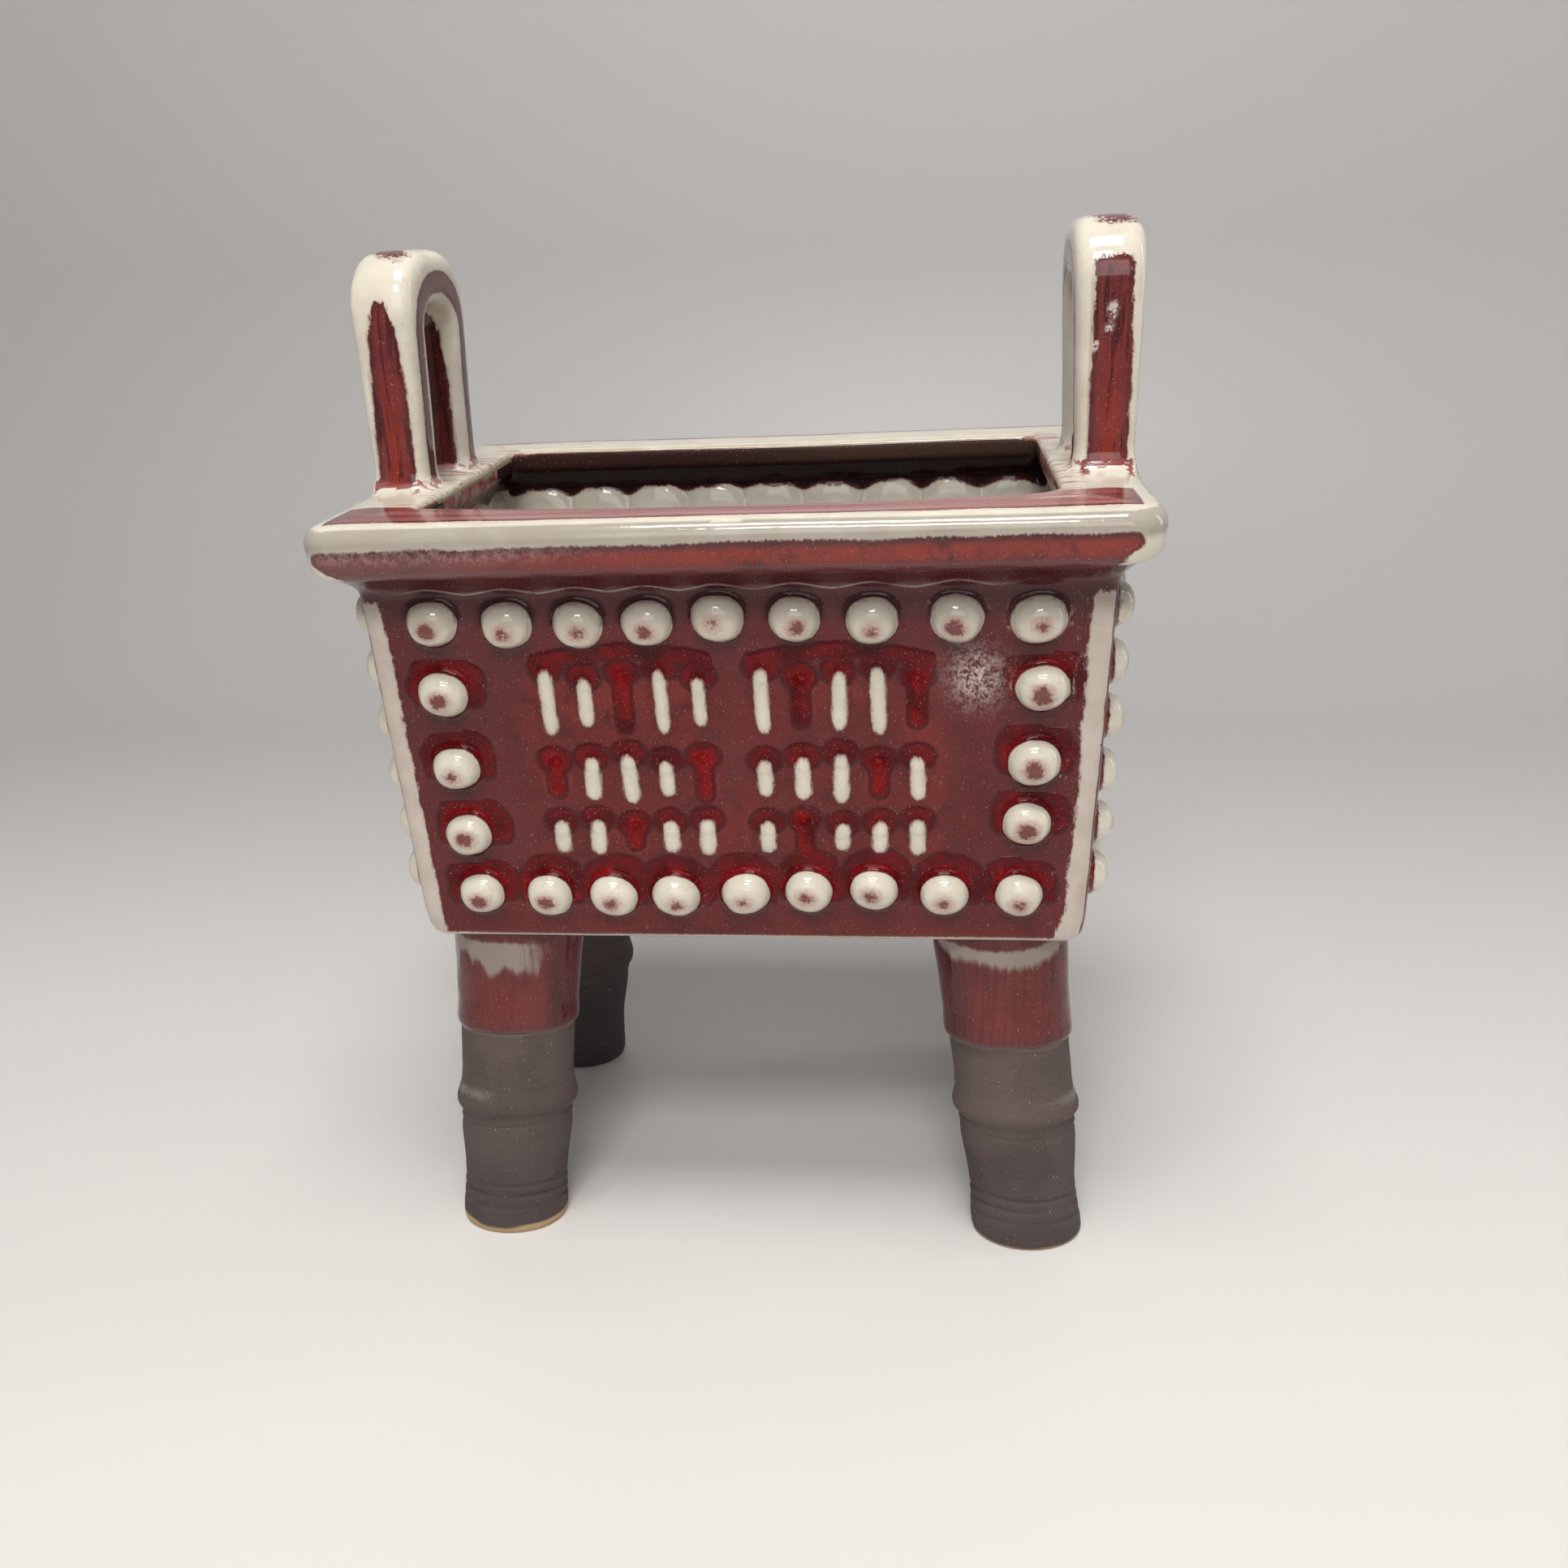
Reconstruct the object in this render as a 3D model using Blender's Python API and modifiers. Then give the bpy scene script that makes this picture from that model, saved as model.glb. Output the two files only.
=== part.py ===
"""A ceramic incense burner: a rectangular vessel with a flanged rim, two upright loop handles
on the short sides of the rim, four splayed round legs with a bamboo ring, a border of domed
studs on every face and two blocks of short raised strokes on the front face.

The burner is one casting, so it is one object with one closed skin. Sizes are in metres, +Z is
up, X runs along the long side, the front face looks along -Y, and the origin is on the table
under the middle of the burner.
"""

import math

import bmesh
import bpy
from mathutils import Matrix, Vector

MM = 0.001

# Vessel
BODY_BOTTOM_HEIGHT = 73.0 * MM      # underside of the vessel over the table
BODY_HEIGHT = 72.8 * MM             # underside to the foot of the cove under the rim
BODY_LENGTH = 133.4 * MM            # along X, at the underside
BODY_DEPTH = 82.8 * MM              # along Y, at the underside
LENGTH_FLARE = 6.2 * MM             # how much longer the vessel is at the cove
DEPTH_FLARE = 7.0 * MM              # how much deeper the vessel is at the cove
BODY_CORNER_RADIUS = 3.2 * MM
BODY_EDGE_RADIUS = 2.6 * MM         # rounding of the lower edge
WALL = 5.0 * MM
FLOOR = 6.5 * MM
HOLLOW_EDGE_RADIUS = 5.0 * MM       # inside, where the walls meet the floor
HOLLOW_CORNER_RADIUS = 6.0 * MM     # inside, where two walls meet

# Rim
RIM_LENGTH_REACH = 7.1 * MM         # how far the rim stands out over the vessel's short sides
RIM_DEPTH_REACH = 8.3 * MM          # and over its long sides
COVE_HEIGHT = 4.8 * MM
COVE_BEND = 1.7                     # 1 is a straight slope, more is a deeper hollow
RIM_HEIGHT = 10.4 * MM              # outer face of the rim
RIM_EDGE_RADIUS = 3.8 * MM          # upper edge of the rim
RIM_LOWER_EDGE = 1.8 * MM
RIM_CORNER_RADIUS = 7.0 * MM
LIP_LENGTH_WIDTH = 17.3 * MM        # top of the rim, outer edge to opening, at the short sides
LIP_DEPTH_WIDTH = 19.0 * MM         # and at the long sides
LIP_THICKNESS = 5.0 * MM            # at the edge of the opening
LIP_SLOPE_HEIGHT = 4.5 * MM         # under the lip, down to the inner wall
MOUTH_CORNER_RADIUS = 4.0 * MM

# Handles, one on each short side of the rim
HANDLE_HEIGHT = 45.0 * MM           # over the rim
HANDLE_LENGTH = 31.0 * MM           # along Y
HANDLE_WIDTH = 12.4 * MM            # along X
HANDLE_STRAP = 9.0 * MM             # thickness of the two uprights
HANDLE_BAR = 11.0 * MM              # thickness of the top of the loop
HANDLE_OUTER_RADIUS = 11.5 * MM
HANDLE_INNER_RADIUS = 5.5 * MM
HANDLE_EDGE_RADIUS = 2.4 * MM
HANDLE_SETBACK = 1.7 * MM           # outer face of the handle, in from the edge of the rim
HANDLE_SINK = 2.5 * MM              # how far the uprights run down into the rim
HANDLE_FOOT_SPREAD = 1.6 * MM       # flare at the foot of the uprights
HANDLE_FOOT_HEIGHT = 3.0 * MM
HANDLE_FOOT_BEND = 0.3              # share of the flare left halfway up

# Legs; the radii are along X
LEG_DEPTH_SHARE = 0.78              # the legs are this much thinner along Y
LEG_TOP_RADIUS = 13.8 * MM          # where the leg meets the vessel
LEG_ROLL_RADIUS = 13.0 * MM         # rolled lower edge of the glaze
GLAZE_BEAD = 0.1 * MM               # how far the very edge stands out over the roll
LEG_CLAY_RADIUS = 12.4 * MM         # bare clay under the glaze
LEG_RING_RADIUS = 13.3 * MM         # bamboo ring
LEG_SHANK_RADIUS = 11.2 * MM        # thinnest place
FOOT_RADIUS = 11.6 * MM
FOOT_EDGE = 0.8 * MM
GLAZE_END_HEIGHT = 47.3 * MM
GLAZE_ROLL = 2.4 * MM               # height of the rolled edge
RING_HEIGHT = 28.6 * MM             # middle of the bamboo ring
RING_WIDTH = 4.4 * MM
RING_CREASE = 0.5 * MM              # depth of the crease under the ring
RING_CREASE_DROP = 0.9 * MM         # how far the crease is under the ring
GROOVE_COUNT = 3
GROOVE_START_HEIGHT = 5.4 * MM
GROOVE_SPACING = 2.6 * MM
GROOVE_DEPTH = 0.35 * MM
LEG_SINK = 3.0 * MM                 # how far the leg runs up into the floor
LEG_INSET_X = 16.4 * MM             # axis of the leg, in from the end of the vessel, at its top
LEG_INSET_Y = 12.1 * MM
LEG_SPLAY_X = 7.3 * MM              # how far the foot stands out from the top of the leg
LEG_SPLAY_Y = 4.5 * MM

# Studs
STUD_RADIUS = 4.6 * MM
STUD_HEIGHT = 3.5 * MM
STUD_SINK = 0.7 * MM                # middle of the ball under the wall's surface
STUD_EDGE_X = 14.5 * MM             # border's outer studs, in from the corner, on the long faces
STUD_EDGE_Y = 9.6 * MM              # and on the short faces
STUD_TOP_DROP = 5.4 * MM            # top row, under the foot of the cove
STUD_BOTTOM_RISE = 12.3 * MM        # bottom row, over the underside
LONG_FACE_COLUMNS = 9
LONG_FACE_ROWS = 5
SHORT_FACE_COLUMNS = 6
SHORT_FACE_ROWS = 6

# Strokes on the front face: two blocks of rows of short upright bars
STROKE_BLOCK_SPACING = 40.6 * MM    # middle to middle of the two blocks
STROKE_BLOCK_SHIFT = -0.7 * MM      # the pair stands a little off the middle of the face
STROKE_COLUMN_SPACING = 7.2 * MM
STROKE_COLUMNS = 5
STROKE_ROW_LENGTHS = (14.0 * MM, 10.6 * MM, 7.6 * MM)
STROKE_ROW_GAP = 3.2 * MM
STROKE_TOP_MARGIN = 4.4 * MM        # top row of bars, under the top row of studs
STROKE_WIDTH = 2.8 * MM
STROKE_RELIEF = 1.0 * MM
STROKE_SINK = 1.2 * MM
STROKE_BEVEL = 0.8                  # share of the relief
STROKE_SHORTENING = (1.0, 0.74, 0.88)     # repeated along each row

# Fineness
CORNER_STEPS = 4
EDGE_STEPS = 3
HOLLOW_STEPS = 3
HANDLE_STEPS = 6
HANDLE_EDGE_STEPS = 2
LEG_SIDES = 16
STUD_SIDES = 9
STUD_RINGS = 6
SMALLEST_RADIUS = 0.3 * MM
MERGE_DISTANCE = 0.01 * MM
FLAT_ANGLE = math.radians(1)        # bends under this are taken out of a handle's flat sides
BEVEL_ANGLE = math.radians(50)      # bends over this are rounded
SMOOTH_ANGLE = math.radians(40)     # bends over this are shaded as edges

# Worked out from the sizes above
COVE_FOOT = BODY_BOTTOM_HEIGHT + BODY_HEIGHT
RIM_BOTTOM = COVE_FOOT + COVE_HEIGHT
RIM_TOP = RIM_BOTTOM + RIM_HEIGHT
HOLLOW_FLOOR = BODY_BOTTOM_HEIGHT + FLOOR
RIM_HALF_LENGTH = (BODY_LENGTH + LENGTH_FLARE) / 2 + RIM_LENGTH_REACH
RIM_HALF_DEPTH = (BODY_DEPTH + DEPTH_FLARE) / 2 + RIM_DEPTH_REACH
TOP_STUD_HEIGHT = COVE_FOOT - STUD_TOP_DROP
BOTTOM_STUD_HEIGHT = BODY_BOTTOM_HEIGHT + STUD_BOTTOM_RISE
MOUTH_HALF_LENGTH = RIM_HALF_LENGTH - LIP_LENGTH_WIDTH
MOUTH_HALF_DEPTH = RIM_HALF_DEPTH - LIP_DEPTH_WIDTH
LEG_TOP_X = BODY_LENGTH / 2 - LEG_INSET_X
LEG_TOP_Y = BODY_DEPTH / 2 - LEG_INSET_Y


def wall_half_sizes(height):
    """Half length and half depth of the vessel's outside at a height; the walls lean outwards."""
    share = (height - BODY_BOTTOM_HEIGHT) / BODY_HEIGHT
    half_length = (BODY_LENGTH + share * LENGTH_FLARE) / 2
    half_depth = (BODY_DEPTH + share * DEPTH_FLARE) / 2
    return half_length, half_depth


def rounded_rectangle(half_length, half_depth, radius, height):
    """A level ring of points, anticlockwise seen from above, with an arc at each corner."""
    radius = max(radius, SMALLEST_RADIUS)
    ring = []
    for quarter, (side_x, side_y) in enumerate(((1, 1), (-1, 1), (-1, -1), (1, -1))):
        centre = Vector((side_x * (half_length - radius), side_y * (half_depth - radius), height))
        for step in range(CORNER_STEPS + 1):
            angle = math.pi / 2 * (quarter + step / CORNER_STEPS)
            ring.append(centre + radius * Vector((math.cos(angle), math.sin(angle), 0)))
    return ring


def make_object(name, bm, collection):
    """Turn a bmesh into an object of a collection, its faces pointing out."""
    bmesh.ops.recalc_face_normals(bm, faces=bm.faces)
    mesh = bpy.data.meshes.new(name)
    bm.to_mesh(mesh)
    bm.free()
    obj = bpy.data.objects.new(name, mesh)
    collection.objects.link(obj)
    return obj


def loft(name, rings, collection):
    """Join rings of equal length, bottom to top, into one closed skin with flat ends."""
    bm = bmesh.new()
    levels = [[bm.verts.new(point) for point in ring] for ring in rings]
    for lower, upper in zip(levels, levels[1:]):
        for here in range(len(lower)):
            after = (here + 1) % len(lower)
            bm.faces.new((lower[here], lower[after], upper[after], upper[here]))
    bm.faces.new(list(reversed(levels[0])))
    bm.faces.new(levels[-1])
    return make_object(name, bm, collection)


def vessel_outside(collection):
    """The vessel's outer form: lower edge, leaning walls, cove, and the rim with round edges."""
    rings = []
    for step in range(EDGE_STEPS + 1):
        angle = math.pi / 2 * step / EDGE_STEPS
        inset = BODY_EDGE_RADIUS * (1 - math.sin(angle))
        height = BODY_BOTTOM_HEIGHT + BODY_EDGE_RADIUS * (1 - math.cos(angle))
        half_length, half_depth = wall_half_sizes(height)
        rings.append(rounded_rectangle(half_length - inset, half_depth - inset,
                                       BODY_CORNER_RADIUS - inset, height))
    foot_length, foot_depth = wall_half_sizes(COVE_FOOT)
    cove_steps = EDGE_STEPS + 1
    for step in range(cove_steps + 1):
        rise = step / cove_steps
        out = rise ** COVE_BEND
        radius = BODY_CORNER_RADIUS + rise * (RIM_CORNER_RADIUS - BODY_CORNER_RADIUS)
        rings.append(rounded_rectangle(foot_length + out * (RIM_LENGTH_REACH - RIM_LOWER_EDGE),
                                       foot_depth + out * (RIM_DEPTH_REACH - RIM_LOWER_EDGE),
                                       radius, COVE_FOOT + rise * COVE_HEIGHT))
    for step in range(1, EDGE_STEPS):
        angle = math.pi / 2 * step / EDGE_STEPS
        inset = RIM_LOWER_EDGE * (1 - math.sin(angle))
        rings.append(rounded_rectangle(RIM_HALF_LENGTH - inset, RIM_HALF_DEPTH - inset,
                                       RIM_CORNER_RADIUS,
                                       RIM_BOTTOM + RIM_LOWER_EDGE * (1 - math.cos(angle))))
    for step in range(EDGE_STEPS + 2):
        angle = math.pi / 2 * step / (EDGE_STEPS + 1)
        inset = RIM_EDGE_RADIUS * (1 - math.cos(angle))
        rings.append(rounded_rectangle(RIM_HALF_LENGTH - inset, RIM_HALF_DEPTH - inset,
                                       RIM_CORNER_RADIUS - inset,
                                       RIM_TOP - RIM_EDGE_RADIUS * (1 - math.sin(angle))))
    return loft("incense_burner", rings, collection)


def vessel_hollow(collection):
    """What is cut out of the vessel: the mouth, and the wider space under the lip."""
    rings = []
    for step in range(HOLLOW_STEPS + 1):
        angle = math.pi / 2 * step / HOLLOW_STEPS
        inset = WALL + HOLLOW_EDGE_RADIUS * (1 - math.sin(angle))
        height = HOLLOW_FLOOR + HOLLOW_EDGE_RADIUS * (1 - math.cos(angle))
        half_length, half_depth = wall_half_sizes(height)
        rings.append(rounded_rectangle(half_length - inset, half_depth - inset,
                                       HOLLOW_CORNER_RADIUS + WALL - inset, height))
    lip_bottom = RIM_TOP - LIP_THICKNESS
    slope_foot = lip_bottom - LIP_SLOPE_HEIGHT
    half_length, half_depth = wall_half_sizes(slope_foot)
    rings.append(rounded_rectangle(half_length - WALL, half_depth - WALL, HOLLOW_CORNER_RADIUS,
                                   slope_foot))
    for height in (lip_bottom, RIM_TOP + LIP_THICKNESS):
        rings.append(rounded_rectangle(MOUTH_HALF_LENGTH, MOUTH_HALF_DEPTH, MOUTH_CORNER_RADIUS, height))
    return loft("hollow", rings, collection)


def arch_outline(half_length, height, radius, foot, spread):
    """Half a loop's outline in Y and Z over the rim, mirrored: upright sides and round shoulders."""
    side = [(half_length + spread, foot),
            (half_length + spread * HANDLE_FOOT_BEND, foot + HANDLE_FOOT_HEIGHT / 2),
            (half_length, foot + HANDLE_FOOT_HEIGHT)]
    for step in range(HANDLE_STEPS + 1):
        angle = math.pi / 2 * step / HANDLE_STEPS
        side.append((half_length - radius * (1 - math.cos(angle)), height - radius * (1 - math.sin(angle))))
    return side + [(-y, z) for y, z in reversed(side)]


def handle(side, collection):
    """One loop: a flat outline with its hole, extruded along X and rounded at its edges."""
    outer = arch_outline(HANDLE_LENGTH / 2, HANDLE_HEIGHT, HANDLE_OUTER_RADIUS, 0, HANDLE_FOOT_SPREAD)
    inner = arch_outline(HANDLE_LENGTH / 2 - HANDLE_STRAP, HANDLE_HEIGHT - HANDLE_BAR,
                         HANDLE_INNER_RADIUS, 0, -HANDLE_FOOT_SPREAD)
    foot_outer = (outer[0][0], -HANDLE_SINK)
    foot_inner = (inner[0][0], -HANDLE_SINK)
    outline = [foot_outer] + outer + [(-foot_outer[0], foot_outer[1])]
    outline += [(-foot_inner[0], foot_inner[1])] + list(reversed(inner)) + [foot_inner]

    curve = bpy.data.curves.new("handle", "CURVE")
    curve.dimensions = "2D"
    curve.fill_mode = "BOTH"
    curve.extrude = HANDLE_WIDTH / 2
    spline = curve.splines.new("POLY")
    spline.points.add(len(outline) - 1)
    for point, (y, z) in zip(spline.points, outline):
        point.co = (y, z, 0, 1)
    spline.use_cyclic_u = True
    guide = bpy.data.objects.new("handle_outline", curve)
    collection.objects.link(guide)
    centre_x = side * (RIM_HALF_LENGTH - HANDLE_SETBACK - HANDLE_WIDTH / 2)
    stand_up = Matrix(((0, 0, 1), (1, 0, 0), (0, 1, 0))).to_4x4()
    guide.matrix_world = Matrix.Translation((centre_x, 0, RIM_TOP)) @ stand_up

    bpy.context.view_layer.update()
    evaluated = guide.evaluated_get(bpy.context.evaluated_depsgraph_get())
    mesh = bpy.data.meshes.new_from_object(evaluated)
    obj = bpy.data.objects.new("handle_right" if side > 0 else "handle_left", mesh)
    obj.matrix_world = guide.matrix_world.copy()
    collection.objects.link(obj)
    bpy.data.objects.remove(guide)
    bpy.data.curves.remove(curve)
    bm = bmesh.new()
    bm.from_mesh(mesh)
    bmesh.ops.remove_doubles(bm, verts=bm.verts, dist=MERGE_DISTANCE)
    bmesh.ops.dissolve_limit(bm, angle_limit=FLAT_ANGLE, verts=bm.verts, edges=bm.edges)
    bmesh.ops.recalc_face_normals(bm, faces=bm.faces)
    bm.to_mesh(mesh)
    bm.free()
    bevel = obj.modifiers.new("round edges", "BEVEL")
    bevel.width = HANDLE_EDGE_RADIUS
    bevel.segments = HANDLE_EDGE_STEPS
    bevel.limit_method = "ANGLE"
    bevel.angle_limit = BEVEL_ANGLE
    bevel.use_clamp_overlap = True
    return obj


def leg_profile():
    """Radius and height down the leg's outer side, from inside the floor to the table."""
    ring_top = RING_HEIGHT + RING_WIDTH / 2
    ring_bottom = RING_HEIGHT - RING_WIDTH / 2
    roll_top = GLAZE_END_HEIGHT + GLAZE_ROLL
    crease_radius = LEG_CLAY_RADIUS - RING_CREASE
    profile = [
        (LEG_TOP_RADIUS, BODY_BOTTOM_HEIGHT + LEG_SINK),
        (LEG_TOP_RADIUS, BODY_BOTTOM_HEIGHT),
        (LEG_ROLL_RADIUS, roll_top),
        (LEG_ROLL_RADIUS + GLAZE_BEAD, GLAZE_END_HEIGHT + GLAZE_ROLL / 3),
        (LEG_CLAY_RADIUS, GLAZE_END_HEIGHT),
        (LEG_CLAY_RADIUS, ring_top + RING_WIDTH / 2),
        ((LEG_CLAY_RADIUS + LEG_RING_RADIUS) / 2, ring_top),
        (LEG_RING_RADIUS, RING_HEIGHT),
        ((crease_radius + LEG_RING_RADIUS) / 2, ring_bottom),
        (crease_radius, ring_bottom - RING_CREASE_DROP),
        (LEG_CLAY_RADIUS, ring_bottom - RING_WIDTH / 2),
    ]
    groove_top = GROOVE_START_HEIGHT + (GROOVE_COUNT - 1) * GROOVE_SPACING
    profile.append((LEG_SHANK_RADIUS, groove_top + GROOVE_SPACING))
    for groove in range(GROOVE_COUNT):
        height = groove_top - groove * GROOVE_SPACING
        profile.append((LEG_SHANK_RADIUS - GROOVE_DEPTH, height))
        profile.append((LEG_SHANK_RADIUS + GROOVE_DEPTH / 2, height - GROOVE_SPACING / 2))
    profile.append((FOOT_RADIUS, FOOT_EDGE))
    profile.append((FOOT_RADIUS - FOOT_EDGE, 0))
    return profile


def leg(side_x, side_y, collection):
    """One leg: a profile turned about its axis, made oval, then leaned with its foot level."""
    profile = leg_profile()
    top = profile[0][1]
    mesh = bpy.data.meshes.new("leg")
    points = [(0, 0, top)] + [(radius, 0, height) for radius, height in profile] + [(0, 0, 0)]
    mesh.from_pydata(points, [(i, i + 1) for i in range(len(points) - 1)], [])
    obj = bpy.data.objects.new("leg", mesh)
    collection.objects.link(obj)
    screw = obj.modifiers.new("turn", "SCREW")
    screw.steps = LEG_SIDES
    screw.render_steps = LEG_SIDES
    screw.use_merge_vertices = True
    screw.merge_threshold = MERGE_DISTANCE
    bpy.context.view_layer.update()
    evaluated = obj.evaluated_get(bpy.context.evaluated_depsgraph_get())
    turned = bpy.data.meshes.new_from_object(evaluated)
    bpy.data.objects.remove(obj)
    bpy.data.meshes.remove(mesh)

    oval = Matrix.Diagonal((1, LEG_DEPTH_SHARE, 1, 1))
    lean = Matrix.Identity(4)
    lean[0][2] = -side_x * LEG_SPLAY_X / BODY_BOTTOM_HEIGHT
    lean[1][2] = -side_y * LEG_SPLAY_Y / BODY_BOTTOM_HEIGHT
    foot = Matrix.Translation((side_x * (LEG_TOP_X + LEG_SPLAY_X), side_y * (LEG_TOP_Y + LEG_SPLAY_Y), 0))
    turned.transform(foot @ lean @ oval)
    leg_object = bpy.data.objects.new("leg_of_the_burner", turned)
    collection.objects.link(leg_object)
    return leg_object


FACES = {
    "front": (Vector((1, 0, 0)), Vector((0, -1, 0))),
    "right": (Vector((0, 1, 0)), Vector((1, 0, 0))),
    "back": (Vector((-1, 0, 0)), Vector((0, 1, 0))),
    "left": (Vector((0, -1, 0)), Vector((-1, 0, 0))),
}


def on_wall(face, along, height):
    """Place on a leaning wall: X runs along the wall, Y up it and Z out of it."""
    along_axis, outward = FACES[face]
    half_length, half_depth = wall_half_sizes(height)
    is_long_face = outward.x == 0
    distance = half_depth if is_long_face else half_length
    flare = (DEPTH_FLARE if is_long_face else LENGTH_FLARE) / 2
    up_axis = (Vector((0, 0, 1)) + outward * (flare / BODY_HEIGHT)).normalized()
    normal = along_axis.cross(up_axis).normalized()
    frame = Matrix((along_axis, up_axis, normal)).transposed().to_4x4()
    return Matrix.Translation(along_axis * along + outward * distance + Vector((0, 0, height))) @ frame


def border_places(face):
    """Places of the studs round the edge of one face, as distance along it and height."""
    is_long_face = face in ("front", "back")
    columns = LONG_FACE_COLUMNS if is_long_face else SHORT_FACE_COLUMNS
    rows = LONG_FACE_ROWS if is_long_face else SHORT_FACE_ROWS
    edge = STUD_EDGE_X if is_long_face else STUD_EDGE_Y
    places = []
    for row in range(rows):
        height = BOTTOM_STUD_HEIGHT + (TOP_STUD_HEIGHT - BOTTOM_STUD_HEIGHT) * row / (rows - 1)
        half_length, half_depth = wall_half_sizes(height)
        reach = (half_length if is_long_face else half_depth) - edge
        for column in range(columns):
            if row in (0, rows - 1) or column in (0, columns - 1):
                places.append((reach * (2 * column / (columns - 1) - 1), height))
    return places


def studs(collection):
    """Every stud, as a flattened ball sunk a little over half in its wall."""
    bm = bmesh.new()
    sink = Matrix.Translation((0, 0, -STUD_SINK))
    flatten = sink @ Matrix.Diagonal((STUD_RADIUS, STUD_RADIUS, STUD_HEIGHT + STUD_SINK, 1))
    for face in FACES:
        for along, height in border_places(face):
            bmesh.ops.create_uvsphere(bm, u_segments=STUD_SIDES, v_segments=STUD_RINGS, radius=1,
                                      matrix=on_wall(face, along, height) @ flatten)
    return make_object("studs", bm, collection)


def stroke_places():
    """Middle and length of every stroke, as distance along the front face, height and length."""
    places = []
    for block in (-0.5, 0.5):
        row_top = TOP_STUD_HEIGHT - STUD_RADIUS - STROKE_TOP_MARGIN
        for row, length in enumerate(STROKE_ROW_LENGTHS):
            for column in range(STROKE_COLUMNS):
                share = STROKE_SHORTENING[(column + row) % len(STROKE_SHORTENING)]
                along = STROKE_BLOCK_SHIFT + block * STROKE_BLOCK_SPACING
                along += (column - (STROKE_COLUMNS - 1) / 2) * STROKE_COLUMN_SPACING
                places.append((along, row_top - length / 2, length * share))
            row_top -= length + STROKE_ROW_GAP
    return places


def strokes(collection):
    """Two blocks of rows of short upright bars, standing a little out of the front wall."""
    bm = bmesh.new()
    middle = Matrix.Translation((0, 0, (STROKE_RELIEF - STROKE_SINK) / 2))
    for along, height, length in stroke_places():
        place = on_wall("front", along, height)
        size = Matrix.Diagonal((STROKE_WIDTH, length, STROKE_RELIEF + STROKE_SINK, 1))
        bar = bmesh.ops.create_cube(bm, size=1, matrix=place @ middle @ size)
        bar_faces = {face for vert in bar["verts"] for face in vert.link_faces}
        bm.normal_update()
        outward = place.to_3x3().col[2]
        top = max(bar_faces, key=lambda face: face.calc_center_median().dot(outward))
        bmesh.ops.bevel(bm, geom=list(top.edges), offset=STROKE_RELIEF * STROKE_BEVEL, segments=1,
                        affect="EDGES", clamp_overlap=True)
    return make_object("strokes", bm, collection)


def apply_boolean(target, operation, tool):
    """Join a shape to the target, or cut it out, and keep the result in the target's own mesh."""
    modifier = target.modifiers.new(operation.lower(), "BOOLEAN")
    modifier.operation = operation
    modifier.solver = "EXACT"
    modifier.object = tool
    modifier.use_self = operation == "UNION"
    bpy.context.view_layer.update()
    evaluated = target.evaluated_get(bpy.context.evaluated_depsgraph_get())
    result = bpy.data.meshes.new_from_object(evaluated)
    target.modifiers.remove(modifier)
    old = target.data
    target.data = result
    bpy.data.meshes.remove(old)


def ceramic_material():
    """Oxblood glaze: deep red, glossy, not metallic."""
    material = bpy.data.materials.new("oxblood_glaze")
    material.use_nodes = True
    shader = material.node_tree.nodes["Principled BSDF"]
    shader.inputs["Base Color"].default_value = (0.16, 0.03, 0.03, 1)
    shader.inputs["Roughness"].default_value = 0.15
    shader.inputs["Metallic"].default_value = 0
    return material


def main():
    for obj in list(bpy.data.objects):
        bpy.data.objects.remove(obj)
    parts = bpy.data.collections.new("incense_burner")
    joined = bpy.data.collections.new("joined_shapes")
    cutters = bpy.data.collections.new("cutters")
    for collection in (parts, joined, cutters):
        bpy.context.scene.collection.children.link(collection)

    burner = vessel_outside(parts)
    for side_x in (-1, 1):
        handle(side_x, joined)
        for side_y in (-1, 1):
            leg(side_x, side_y, joined)
    studs(joined)
    strokes(joined)
    vessel_hollow(cutters)
    for collection, operation in ((joined, "UNION"), (cutters, "DIFFERENCE")):
        for tool in list(collection.objects):
            apply_boolean(burner, operation, tool)
            tool.hide_render = True
            tool.display_type = "WIRE"

    burner.data.materials.clear()
    burner.data.materials.append(ceramic_material())
    burner.data.shade_smooth()
    burner.data.set_sharp_from_angle(angle=SMOOTH_ANGLE)


main()
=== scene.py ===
# %% [markdown]
# # A ceramic incense burner
# This lesson dresses a rectangular four-legged incense burner. The real one was cast in a mould,
# dipped in a copper-red glaze and fired. Where the glaze ran thin, over studs, corners and
# edges, it broke to a warm white; where it pooled, it turned deep red or mauve.
# The steps are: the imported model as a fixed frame, the clay form, the legs, the glaze worked out
# from the form, and last the floor, the lights and the camera.

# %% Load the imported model
import math

import bmesh
import bpy
import numpy as np
from mathutils import Matrix, Vector


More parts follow.
